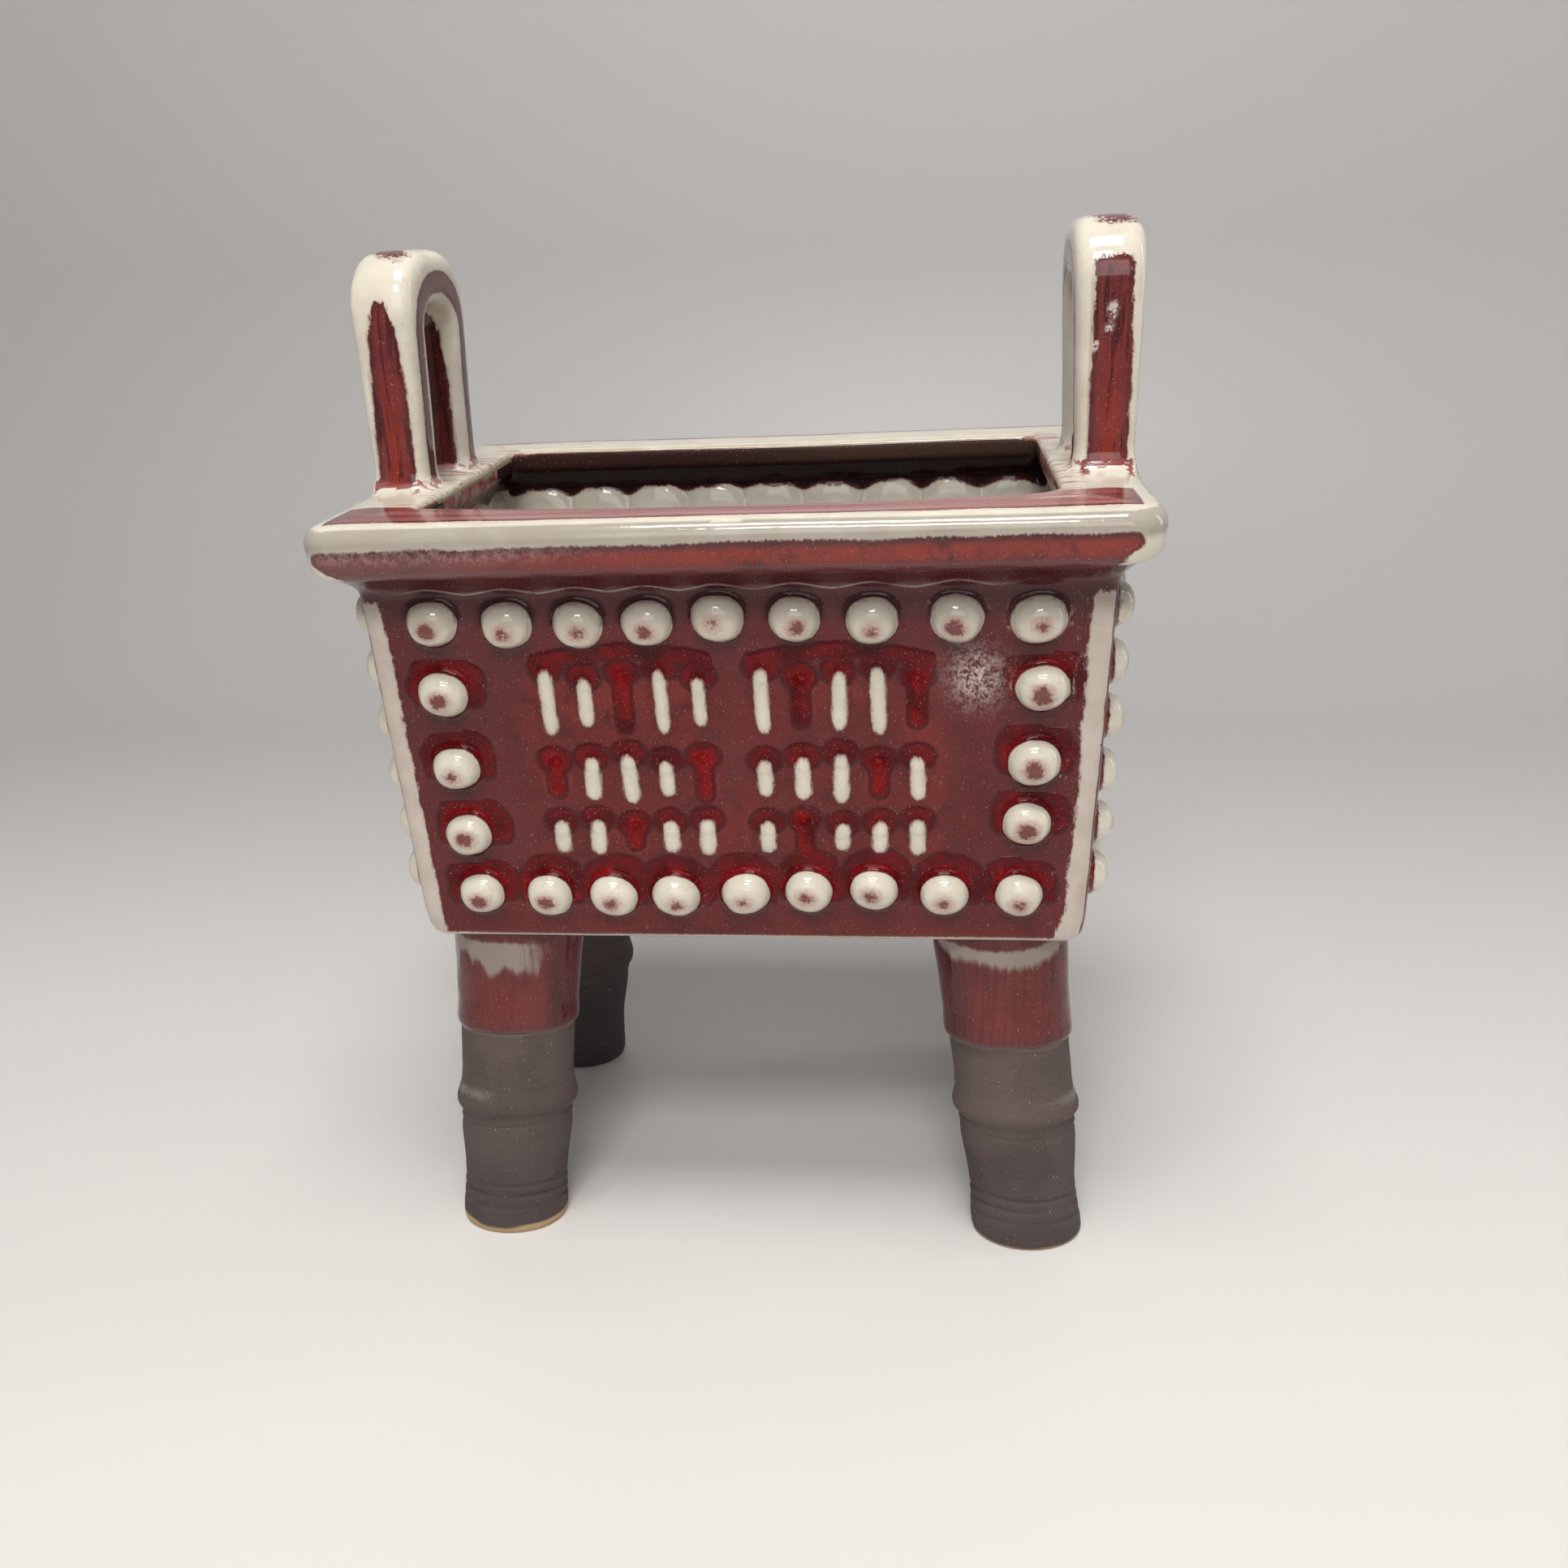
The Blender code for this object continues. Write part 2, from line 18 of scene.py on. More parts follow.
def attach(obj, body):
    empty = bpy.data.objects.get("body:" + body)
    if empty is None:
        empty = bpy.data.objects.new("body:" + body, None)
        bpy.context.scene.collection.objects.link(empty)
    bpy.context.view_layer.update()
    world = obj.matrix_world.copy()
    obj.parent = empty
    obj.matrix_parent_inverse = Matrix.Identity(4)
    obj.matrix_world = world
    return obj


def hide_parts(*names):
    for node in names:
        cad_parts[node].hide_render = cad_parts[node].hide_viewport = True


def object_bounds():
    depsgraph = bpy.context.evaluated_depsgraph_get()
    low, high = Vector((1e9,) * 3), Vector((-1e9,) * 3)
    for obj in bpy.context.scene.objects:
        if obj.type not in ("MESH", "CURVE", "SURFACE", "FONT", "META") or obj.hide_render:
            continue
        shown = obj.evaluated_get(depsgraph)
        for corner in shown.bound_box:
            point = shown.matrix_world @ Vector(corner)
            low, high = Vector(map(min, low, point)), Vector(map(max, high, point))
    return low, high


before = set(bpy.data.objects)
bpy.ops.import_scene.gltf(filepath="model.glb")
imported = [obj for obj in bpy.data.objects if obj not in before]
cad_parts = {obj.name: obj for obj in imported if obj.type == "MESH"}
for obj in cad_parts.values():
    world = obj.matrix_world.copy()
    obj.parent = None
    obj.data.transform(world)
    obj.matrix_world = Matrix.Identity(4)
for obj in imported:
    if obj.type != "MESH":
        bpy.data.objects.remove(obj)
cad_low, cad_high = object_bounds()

MM = 0.001
print("solid model, mm:", [round(v / MM, 1) for v in cad_high - cad_low])

# %% [markdown]
# ## The sizes of the vessel
# These are the sizes of the solid model, in millimetres: the walls lean outwards, and a wide
# rim stands out over them on a hollow curve. Every piece below is placed from them, so that
# the detailed mesh and the solids stay in the same place.

# %% Sizes of the vessel and the rim
BODY_BOTTOM, COVE_FOOT = 73.0, 145.8
BODY_HALF_LENGTH, BODY_HALF_DEPTH = 66.7, 41.4       # at the underside
LENGTH_FLARE, DEPTH_FLARE = 3.1, 3.5                 # more than that, each side, at the cove
BODY_CORNER, BODY_EDGE = 3.2, 2.6
RIM_BOTTOM, RIM_TOP = 150.6, 161.0
RIM_HALF_LENGTH, RIM_HALF_DEPTH = 76.9, 53.2
RIM_CORNER = 7.0
MOUTH_HALF_LENGTH, MOUTH_HALF_DEPTH = 59.6, 34.2
MOUTH_CORNERS = (3.0, 3.5, 1.4, 5.5)                 # each corner of the opening is its own
WALL, FLOOR = 5.0, 6.5
LIP_BOTTOM, LIP_FOOT = 156.0, 151.5                  # under the lip, down to the inner wall
COVE_BEND, COVE_TUCK = 1.7, 2.6                      # how hollow it is, and its end under the rim
HOLLOW_EDGE, HOLLOW_CORNER = 5.0, 6.0                # inside: wall to floor, and wall to wall
HOLLOW_SIDE = -2.2                                   # what lies further in is the hollow's skin


def wall_half_sizes(height):
    """Half length and half depth of the leaning walls at a height, in millimetres."""
    share = (height - BODY_BOTTOM) / (COVE_FOOT - BODY_BOTTOM)
    return BODY_HALF_LENGTH + share * LENGTH_FLARE, BODY_HALF_DEPTH + share * DEPTH_FLARE


def placed(name, data):
    """An object with that data, put into the scene."""
    obj = bpy.data.objects.new(name, data)
    bpy.context.scene.collection.objects.link(obj)
    return obj


def mesh_object(name, points, faces):
    """A mesh object from points in millimetres, with its faces turned outwards."""
    mesh = bpy.data.meshes.new(name)
    mesh.from_pydata([tuple(p) for p in np.asarray(points) * MM], [], faces)
    bm = bmesh.new()
    bm.from_mesh(mesh)
    bmesh.ops.recalc_face_normals(bm, faces=bm.faces)
    bm.to_mesh(mesh)
    bm.free()
    return placed(name, mesh)


def loft(name, rings):
    """One closed skin through rings of equally many points, with flat ends."""
    count = len(rings[0])
    faces = []
    for level in range(len(rings) - 1):
        for here in range(count):
            after = (here + 1) % count
            faces.append((level * count + here, level * count + after,
                          (level + 1) * count + after, (level + 1) * count + here))
    faces.append(tuple(reversed(range(count))))
    faces.append(tuple(range((len(rings) - 1) * count, len(rings) * count)))
    return mesh_object(name, np.concatenate(rings), faces)


def rectangle(half_length, half_depth, corner, height, steps=9):
    """A level ring with round corners; corner is one radius, or one for each corner."""
    corners = (corner,) * 4 if np.isscalar(corner) else corner
    ring = []
    for quarter, (side_x, side_y) in enumerate(((1, 1), (-1, 1), (-1, -1), (1, -1))):
        radius = max(corners[quarter], 0.3)
        for step in range(steps + 1):
            angle = math.pi / 2 * (quarter + step / steps)
            ring.append((side_x * (half_length - radius) + radius * math.cos(angle),
                         side_y * (half_depth - radius) + radius * math.sin(angle), height))
    return np.array(ring)


def wall_ring(height, inset, corner):
    """A level ring along the leaning walls, that many millimetres inside them."""
    half_length, half_depth = wall_half_sizes(height)
    return rectangle(half_length - inset, half_depth - inset, corner, height)

# %% [markdown]
# ## The skin of the vessel
# A potter would cast the box and its rim in one mould. A box with a bevel could stand for it,
# but the rim has a long profile: a hollow under it, a face with a shallow channel where the red
# glaze gathers, a soft outer edge, and a lip that overhangs the inside. A loft through level
# rings follows that profile exactly, up the outside, over the lip and down the inside, so the
# wall has its true thickness and the skin is closed.

# %% The vessel, lofted as one skin
rings = []
for step in range(7):
    angle = math.pi / 2 * step / 6
    inset = BODY_EDGE * (1 - math.sin(angle))
    height = BODY_BOTTOM + BODY_EDGE * (1 - math.cos(angle))
    rings.append(wall_ring(height, inset, BODY_CORNER + 1.5 - inset))
for height in np.linspace(BODY_BOTTOM + 6, COVE_FOOT - 1, 8):
    rings.append(wall_ring(height, 0, BODY_CORNER))
foot_length, foot_depth = wall_half_sizes(COVE_FOOT)
for rise in np.linspace(0, 1, 9):
    out = rise ** COVE_BEND
    rings.append(rectangle(foot_length + out * (RIM_HALF_LENGTH - COVE_TUCK - foot_length),
                           foot_depth + out * (RIM_HALF_DEPTH - COVE_TUCK - foot_depth),
                           BODY_CORNER + rise * (RIM_CORNER - BODY_CORNER),
                           COVE_FOOT + rise * (RIM_BOTTOM - COVE_FOOT)))
RIM_FACE = ((1.9, 150.9), (1.1, 151.6), (0.55, 152.5), (0.3, 153.6), (0.3, 154.6), (0.25, 155.6),
            (0.05, 156.5), (0.0, 157.2), (0.1, 158.0), (0.45, 158.9), (1.1, 159.7), (2.0, 160.25),
            (3.2, 160.55), (5.0, 160.75), (7.0, 160.9))      # in from the rim's edge, and height
for inset, height in RIM_FACE:
    rings.append(rectangle(RIM_HALF_LENGTH - inset, RIM_HALF_DEPTH - inset, RIM_CORNER - inset * 0.6,
                           height))
LIP = ((0.5, 161.0), (0.75, 160.9), (0.93, 160.85), (0.972, 160.65), (0.992, 160.2), (1.0, 159.4),
       (1.0, 157.2), (0.995, 156.3))                         # from the rim's edge to the opening
for share, height in LIP:
    corner = [share * r + (1 - share) * RIM_CORNER / 2 for r in MOUTH_CORNERS]
    rings.append(rectangle(RIM_HALF_LENGTH + share * (MOUTH_HALF_LENGTH - RIM_HALF_LENGTH),
                           RIM_HALF_DEPTH + share * (MOUTH_HALF_DEPTH - RIM_HALF_DEPTH), corner,
                           height))
rings.append(rectangle(MOUTH_HALF_LENGTH + 0.8, MOUTH_HALF_DEPTH + 0.8, 4.0, LIP_BOTTOM - 0.2))
for height in (LIP_FOOT, 140.0, 125.0, 110.0, 95.0, BODY_BOTTOM + FLOOR + 6):
    rings.append(wall_ring(height, WALL, HOLLOW_CORNER))
for step in range(5, -1, -1):
    angle = math.pi / 2 * step / 5
    inset = HOLLOW_EDGE * (1 - math.sin(angle))
    height = BODY_BOTTOM + FLOOR + HOLLOW_EDGE * (1 - math.cos(angle)) * 0.99
    rings.append(wall_ring(height, WALL + inset, HOLLOW_CORNER + 0.5 - inset))
vessel_skin = loft("vessel_skin", rings)
print("vessel skin:", len(vessel_skin.data.polygons), "faces from", len(rings), "rings")

# %% [markdown]
# ## The loop handles
# Each handle is a thick strap bent into an upright loop. It could be a curve with a round
# bevel, but the real section is a soft rectangle, and the top of the loop is thicker than its
# uprights. So the strap is lofted between an outer and an inner arch: at each step a squarish
# oval is stretched from one arch to the other, and it widens a little where it meets the rim.

# %% Handles, lofted between two arches
HANDLE_HEIGHT, HANDLE_HALF_LENGTH = 45.0, 15.5
FOOT_HALF_WIDTH, TOP_HALF_WIDTH = 5.8, 6.9                      # the strap widens upwards
HANDLE_STRAP, HANDLE_BAR = 9.0, 11.0
HANDLE_OUTER_CORNER, HANDLE_INNER_CORNER = 11.5, 5.5
HANDLE_PLACES = {-1: (-68.6, math.radians(-3.2)), 1: (69.35, 0.0)}      # middle along X, and turn
HANDLE_FOOT = -2.5
FOOT_FLARE, FLARE_HEIGHT = 0.34, 3.2                            # where the strap meets the rim
SOFT_CORNERS = 0.55                                             # of the section: 1 is an oval, 0 a box


def arch(half_length, height, radius, upright_steps=16, corner_steps=12, top_steps=5):
    """Points of an arch in Y and Z over the rim, from the front foot over the top to the back."""
    side = [(-half_length, z) for z in np.linspace(HANDLE_FOOT, height - radius, upright_steps)]
    for step in range(1, corner_steps + 1):
        angle = math.pi / 2 * step / corner_steps
        side.append((-half_length + radius * (1 - math.cos(angle)), height - radius * (1 - math.sin(angle))))
    top = [(y, height) for y in np.linspace(-half_length + radius, half_length - radius, top_steps)[1:-1]]
    return np.array(side + top + [(-y, z) for y, z in reversed(side)])


def handle(side):
    """One handle: a soft box section, stretched at every step from the outer to the inner arch."""
    middle_x, turn = HANDLE_PLACES[side]
    outer = arch(HANDLE_HALF_LENGTH, HANDLE_HEIGHT, HANDLE_OUTER_CORNER)
    inner = arch(HANDLE_HALF_LENGTH - HANDLE_STRAP, HANDLE_HEIGHT - HANDLE_BAR, HANDLE_INNER_CORNER)
    turns = np.linspace(0, 2 * math.pi, 40, endpoint=False)
    across, through = (np.sign(wave) * np.abs(wave) ** SOFT_CORNERS
                       for wave in (np.cos(turns), np.sin(turns)))
    sections = []
    for outer_point, inner_point in zip(outer, inner):
        middle, reach = (outer_point + inner_point) / 2, (outer_point - inner_point) / 2
        flare = 1 + FOOT_FLARE * max(0.0, 1 - max(middle[1], 0) / FLARE_HEIGHT) ** 2
        half_width = np.interp(middle[1], (0, HANDLE_HEIGHT), (FOOT_HALF_WIDTH, TOP_HALF_WIDTH))
        local_x = across * (half_width + 2.2 * (flare - 1))
        local_y = middle[0] + through * flare * reach[0]
        sections.append(np.stack([middle_x + local_x * math.cos(turn) - local_y * math.sin(turn),
                                  local_x * math.sin(turn) + local_y * math.cos(turn),
                                  RIM_TOP + middle[1] + through * flare * reach[1]], axis=1))
    return loft("handle_skin", sections)


handle_skins = [handle(-1), handle(1)]
print("two handles:", sum(len(h.data.polygons) for h in handle_skins), "faces")

# %% [markdown]
# ## Studs and strokes with Geometry Nodes
# A border of domed studs runs round every wall, and two blocks of short raised bars stand on
# the front. They are many copies of one shape, so Geometry Nodes set them out: a point for
# each copy says which way the wall looks and which way is up along it, and the tree puts a
# dome or a bar there, turned and sized a little differently each time, as hand-finished clay
# would be. The seed is fixed, so the same studs come out on every run.

# %% Where the studs and the strokes go
FACES = {"front": ((1, 0, 0), (0, -1, 0)), "right": ((0, 1, 0), (1, 0, 0)),
         "back": ((-1, 0, 0), (0, 1, 0)), "left": ((0, -1, 0), (-1, 0, 0))}      # along it, and outwards
LONG_FACES = ("front", "back")
LONG_BORDER, SHORT_BORDER = (9, 5, 14.5), (6, 6, 9.6)        # columns, rows, and in from the corner
STUD_RADIUS, STUD_HEIGHT, STUD_SINK = 4.6, 3.5, 0.7
TOP_STUD, BOTTOM_STUD = 140.4, 85.3


def on_wall(face, along, height):
    """A point on a leaning wall, the wall's outward direction, and the direction up it."""
    along_axis, outward = (Vector(axis) for axis in FACES[face])
    half_length, half_depth = wall_half_sizes(height)
    reach, flare = (half_depth, DEPTH_FLARE) if face in LONG_FACES else (half_length, LENGTH_FLARE)
    up = (Vector((0, 0, 1)) + outward * flare / (COVE_FOOT - BODY_BOTTOM)).normalized()
    point = along_axis * along + outward * reach + Vector((0, 0, height))
    return point, along_axis.cross(up).normalized(), up


def border(face):
    """Distance along the face and height of each stud of its border."""
    is_long = face in LONG_FACES
    columns, rows, edge = LONG_BORDER if is_long else SHORT_BORDER
    places = []
    for row in range(rows):
        height = BOTTOM_STUD + (TOP_STUD - BOTTOM_STUD) * row / (rows - 1)
        reach = wall_half_sizes(height)[0 if is_long else 1] - edge
        for column in range(columns):
            if row in (0, rows - 1) or column in (0, columns - 1):
                places.append((reach * (2 * column / (columns - 1) - 1), height))
    return places


# How far each stud of the front sits off the even spacing, along X and up: the bottom row from
# the left, then the side columns upwards in pairs, then the top row.
FRONT_SHIFTS = ((-0.4, -1.05), (0.25, -1.4), (0.1, -1.4), (-0.5, -1.2), (0.25, -0.65), (-0.45, -0.1),
                (-0.85, 0.3), (-0.4, -0.6), (0.7, -0.5), (-0.95, -1.9), (1.2, 0.9), (-0.9, -1.55),
                (1.65, -0.45), (-0.85, -0.2), (2.1, 0.45), (-0.6, -0.1), (-0.2, -0.5), (-0.6, -0.7),
                (-1.5, -0.5), (-2.2, 0.35), (-1.9, 0.0), (-1.7, -0.4), (-0.2, -0.1), (0.6, -0.4))
stud_places = [(face, along, height) for face in FACES for along, height in border(face)]
for number, (shift_x, shift_z) in enumerate(FRONT_SHIFTS):
    face, along, height = stud_places[number]
    stud_places[number] = (face, along + shift_x, height + shift_z)
STROKE_BLOCK_SPACING, STROKE_BLOCK_SHIFT, STROKE_TOP_MARGIN = 40.6, -0.7, 4.4
STROKE_COLUMNS, STROKE_COLUMN_SPACING, STROKE_ROW_GAP = 5, 7.2, 3.2
STROKE_ROW_LENGTHS = (14.0, 10.6, 7.6)
STROKE_SHORTENING = (1.0, 0.74, 0.88)                        # in turn, so that no row is even
stroke_places = []
for block in (-0.5, 0.5):
    row_top = TOP_STUD - STUD_RADIUS - STROKE_TOP_MARGIN
    for row, length in enumerate(STROKE_ROW_LENGTHS):
        for column in range(STROKE_COLUMNS):
            along = STROKE_BLOCK_SHIFT + block * STROKE_BLOCK_SPACING + (column - 2) * STROKE_COLUMN_SPACING
            stroke_places.append((along, row_top - length / 2,
                                  length * STROKE_SHORTENING[(column + row) % 3]))
        row_top -= length + STROKE_ROW_GAP
print(len(stud_places), "studs and", len(stroke_places), "strokes")

# %% Points that carry directions


def points_object(name, places, extra=()):
    """Loose points on the walls, each with its outward and up directions and extra numbers."""
    mesh = bpy.data.meshes.new(name)
    found = [on_wall(*place) for place in places]
    mesh.from_pydata([tuple(point * MM) for point, _, _ in found], [], [])
    for label, values in (("outward", [f[1] for f in found]), ("up", [f[2] for f in found])):
        attribute = mesh.attributes.new(label, "FLOAT_VECTOR", "POINT")
        attribute.data.foreach_set("vector", np.array(values, np.float32).ravel())
    for label, values in extra:
        attribute = mesh.attributes.new(label, "FLOAT", "POINT")
        attribute.data.foreach_set("value", np.array(values, np.float32))
    return placed(name, mesh)

# %% Nodes, and numbers in a node tree that are written like sums


def node(tree, kind, settings=None, **inputs):
    """Add a node; inputs are sockets or amounts to link from, or plain values, by socket name."""
    new = tree.nodes.new(kind)
    for label, value in (settings or {}).items():
        setattr(new, label, value)
    for label, value in inputs.items():
        key = label.replace("_", " ")
        socket = new.inputs[int(key[1:])] if key[0] == "i" and key[1:].isdigit() else new.inputs[key]
        value = value.socket if isinstance(value, Amount) else value
        if isinstance(value, bpy.types.NodeSocket):
            tree.links.new(value, socket)
        else:
            socket.default_value = value
    return new


class Amount:
    """A number inside a node tree. Each sign between two of them adds one Math node."""

    def __init__(self, tree, socket):
        self.tree, self.socket = tree, socket

    def through(self, operation, *values):
        """What a Math node makes of this number and the others."""
        inputs = {f"i{i}": value for i, value in enumerate((self, *values))}
        made = node(self.tree, "ShaderNodeMath", {"operation": operation}, **inputs)
        return Amount(self.tree, made.outputs[0])

    def __add__(self, other):
        return self.through("ADD", other)

    def __sub__(self, other):
        return self.through("SUBTRACT", other)

    def __mul__(self, other):
        return self.through("MULTIPLY", other)

    def __rsub__(self, other):
        return self.through("MULTIPLY", -1.0).through("ADD", other)

    def __pow__(self, power):
        return self.through("POWER", power)

    def __abs__(self):
        return self.through("ABSOLUTE")

# %% Trees that set out copies, and how a tree is run


def new_tree(name, *labels):
    """A Geometry Nodes tree that takes points and named values, and what it takes, by name."""
    tree = bpy.data.node_groups.new(name, "GeometryNodeTree")
    kinds = {"Geometry": "Geometry", **dict.fromkeys(labels, "Float"), "Turn": "Float", "Seed": "Int",
             "Clay": "Material"}
    for label, kind in kinds.items():
        tree.interface.new_socket(label, in_out="INPUT", socket_type="NodeSocket" + kind)
    tree.interface.new_socket("Geometry", in_out="OUTPUT", socket_type="NodeSocketGeometry")
    start = tree.nodes.new("NodeGroupInput")
    return tree, {label: Amount(tree, start.outputs[label]) for label in kinds}


def set_out(tree, taken, shape, scale):
    """Stand a copy of the shape on every point, up along the wall and turned a little at random."""
    outward, upward = (node(tree, "GeometryNodeInputNamedAttribute", {"data_type": "FLOAT_VECTOR"},
                            Name=label).outputs["Attribute"] for label in ("outward", "up"))
    stand = node(tree, "FunctionNodeAxesToRotation", {"primary_axis": "Z", "secondary_axis": "Y"},
                 Primary_Axis=outward, Secondary_Axis=upward)
    turn = node(tree, "FunctionNodeRandomValue", {"data_type": "FLOAT"}, i2=taken["Turn"] * -1.0,
                i3=taken["Turn"], Seed=taken["Seed"])
    spin = node(tree, "ShaderNodeCombineXYZ", Z=turn.outputs[1])
    twist = node(tree, "FunctionNodeRotateRotation", {"rotation_space": "LOCAL"},
                 Rotation=stand.outputs[0], Rotate_By=spin.outputs[0])
    copies = node(tree, "GeometryNodeInstanceOnPoints", Points=taken["Geometry"],
                  Instance=shape.outputs[0], Rotation=twist.outputs[0], Scale=scale.outputs[0])
    real = node(tree, "GeometryNodeRealizeInstances", Geometry=copies.outputs[0])
    painted = node(tree, "GeometryNodeSetMaterial", Geometry=real.outputs[0], Material=taken["Clay"])
    tree.links.new(painted.outputs[0], tree.nodes.new("NodeGroupOutput").inputs[0])


def applied(obj):
    """Keep what an object's modifiers make as its mesh."""
    bpy.context.view_layer.update()
    evaluated = obj.evaluated_get(bpy.context.evaluated_depsgraph_get())
    mesh = bpy.data.meshes.new_from_object(evaluated)
    obj.modifiers.clear()
    obj.data = mesh
    return obj


def grow(obj, tree, **values):
    """Run a tree on an object with its named values and keep the result as a plain mesh."""
    modifier = obj.modifiers.new(tree.name, "NODES")
    modifier.node_group = tree
    identifiers = {item.name.replace(" ", "_"): item.identifier for item in tree.interface.items_tree
                   if item.item_type == "SOCKET" and item.in_out == "INPUT"}
    for label, value in values.items():
        modifier[identifiers[label]] = value
    return applied(obj)


# %% [markdown]
# ## The tree for domes
# A ball is pressed towards a soft square cushion, because the real studs were pushed on by a
# finger and are neither quite round nor quite domed. Each copy is stood on its wall by Axes to
# Rotation, then turned and sized at random. The same tree, with flatter and taller numbers,
# makes the swellings on the inside of the walls, which the mould left behind each stud.

# %% The tree for domes
CUSHION = 0.72                   # how flat a dome's top is: 1 is a ball's, and less is flatter
raw_clay = bpy.data.materials.new("raw_clay")
dome_tree, taken = new_tree("dome_border", "Radius", "Height", "Tallness", "Squareness", "Size Change")
ball = node(dome_tree, "GeometryNodeMeshUVSphere", Segments=28, Rings=18, Radius=1.0)
place = node(dome_tree, "GeometryNodeInputPosition")
parts = node(dome_tree, "ShaderNodeSeparateXYZ", Vector=place.outputs["Position"])
pressed = {}
for axis, power, size in (("X", taken["Squareness"], taken["Radius"]),
                          ("Y", taken["Squareness"], taken["Radius"] * taken["Tallness"]),
                          ("Z", CUSHION, taken["Height"])):
    part = Amount(dome_tree, parts.outputs[axis])
    pressed[axis] = abs(part) ** power * part.through("SIGN") * size
sized = node(dome_tree, "ShaderNodeCombineXYZ", **pressed)
dome = node(dome_tree, "GeometryNodeSetPosition", Geometry=ball.outputs["Mesh"], Position=sized.outputs[0])
least, most = (node(dome_tree, "ShaderNodeCombineXYZ", X=end, Y=end, Z=end).outputs[0]
               for end in (1.0 - taken["Size Change"], taken["Size Change"] + 1.0))
grade = node(dome_tree, "FunctionNodeRandomValue", {"data_type": "FLOAT_VECTOR"}, i0=least, i1=most,
             Seed=taken["Seed"])
set_out(dome_tree, taken, dome, grade)

studs = grow(points_object("studs", stud_places), dome_tree, Radius=STUD_RADIUS * MM,
             Height=(STUD_HEIGHT + STUD_SINK) * MM, Tallness=0.93, Squareness=0.9, Size_Change=0.05,
             Turn=0.35, Seed=7, Clay=raw_clay)
print("studs:", len(studs.data.polygons), "faces")

# %% [markdown]
# ## The tree for strokes
# The real front has a raised inscription. Here its place is taken by rows of short upright bars
# that mean nothing. A bar could be a scaled box, but the real relief is soft, so the tree
# sweeps a circle along a short line and lets its size fall away at both ends, like a roll of
# clay pressed on to the wall. Each point carries the length of its own bar.

# %% The tree for strokes
STROKE_WIDTH, STROKE_RELIEF, STROKE_SINK = 2.9, 1.0, 0.35
stroke_tree, taken = new_tree("stroke_rows", "Width", "Flatness", "Sink")
line = node(stroke_tree, "GeometryNodeCurvePrimitiveLine", Start=(0, -0.5, 0), End=(0, 0.5, 0))
fine = node(stroke_tree, "GeometryNodeResampleCurve", Curve=line.outputs[0], Count=25)
along = node(stroke_tree, "GeometryNodeSplineParameter")
from_middle = abs(Amount(stroke_tree, along.outputs["Factor"]) * 2.0 - 1.0)
fatness = (1.03 - from_middle ** 7.0).through("SQRT") * (taken["Width"] * 0.5)
circle = node(stroke_tree, "GeometryNodeCurvePrimitiveCircle", Resolution=20, Radius=1.0)
swept = node(stroke_tree, "GeometryNodeCurveToMesh", Curve=fine.outputs[0], Profile_Curve=circle.outputs[0],
             Scale=fatness, Fill_Caps=True)
sunk = node(stroke_tree, "ShaderNodeCombineXYZ", Z=taken["Sink"] * -1.0)
flat = node(stroke_tree, "ShaderNodeCombineXYZ", X=1.0, Y=1.0, Z=taken["Flatness"])
bar = node(stroke_tree, "GeometryNodeTransform", Geometry=swept.outputs[0], Translation=sunk.outputs[0],
           Scale=flat.outputs[0])
length = node(stroke_tree, "GeometryNodeInputNamedAttribute", {"data_type": "FLOAT"}, Name="length")
stretch = node(stroke_tree, "ShaderNodeCombineXYZ", X=1.0, Y=length.outputs["Attribute"], Z=1.0)
set_out(stroke_tree, taken, bar, stretch)

strokes = points_object("strokes", [("front", along_mm, height) for along_mm, height, _ in stroke_places],
                        [("length", [length_mm * MM for _, _, length_mm in stroke_places])])
strokes = grow(strokes, stroke_tree, Width=STROKE_WIDTH * MM,
               Flatness=(STROKE_RELIEF + STROKE_SINK) / (STROKE_WIDTH / 2), Sink=STROKE_SINK * MM,
               Turn=0.05, Seed=3, Clay=raw_clay)
print("strokes:", len(strokes.data.polygons), "faces")

# %% Swellings on the inner walls, from the tree for domes
SWELLING_HEIGHT = 142.5
SWELLINGS_ALONG, SWELLINGS_ACROSS = 9, 5
swelling_places = []
for face in FACES:
    reach = max(along_mm for along_mm, _ in border(face))
    count = SWELLINGS_ALONG if face in LONG_FACES else SWELLINGS_ACROSS
    swelling_places += [(face, reach * (2 * i / (count - 1) - 1), SWELLING_HEIGHT) for i in range(count)]
swellings = points_object("swellings", swelling_places)
for vertex, swelling_place in zip(swellings.data.vertices, swelling_places):
    vertex.co -= on_wall(*swelling_place)[1] * WALL * MM
swellings = grow(swellings, dome_tree, Radius=7.0 * MM, Height=1.9 * MM, Tallness=1.25, Squareness=0.9,
                 Size_Change=0.05, Turn=0.06, Seed=11, Clay=raw_clay)
print("swellings:", len(swellings.data.polygons), "faces")

# %% [markdown]
# ## One casting
# Slip, glaze and firing soften every join of the real burner: there is no hard line where a
# stud sits on the wall. Booleans would keep hard lines, and a bevel on them rarely holds. A
# voxel remesh welds all the shapes into one skin of even small squares, and a few rounds of
# smoothing melt the joins as the glaze does.

# %% Weld the shapes and melt the joins
VOXEL = 0.78


def from_bmesh(name, bm):
    """An object from a bmesh, which is used up by it."""
    mesh = bpy.data.meshes.new(name)
    bm.to_mesh(mesh)
    bm.free()
    return placed(name, mesh)


def joined(name, objects):
    """One object from several; the first ones are removed."""
    bm = bmesh.new()
    for obj in objects:
        bm.from_mesh(obj.data)
        bpy.data.objects.remove(obj)
    return from_bmesh(name, bm)


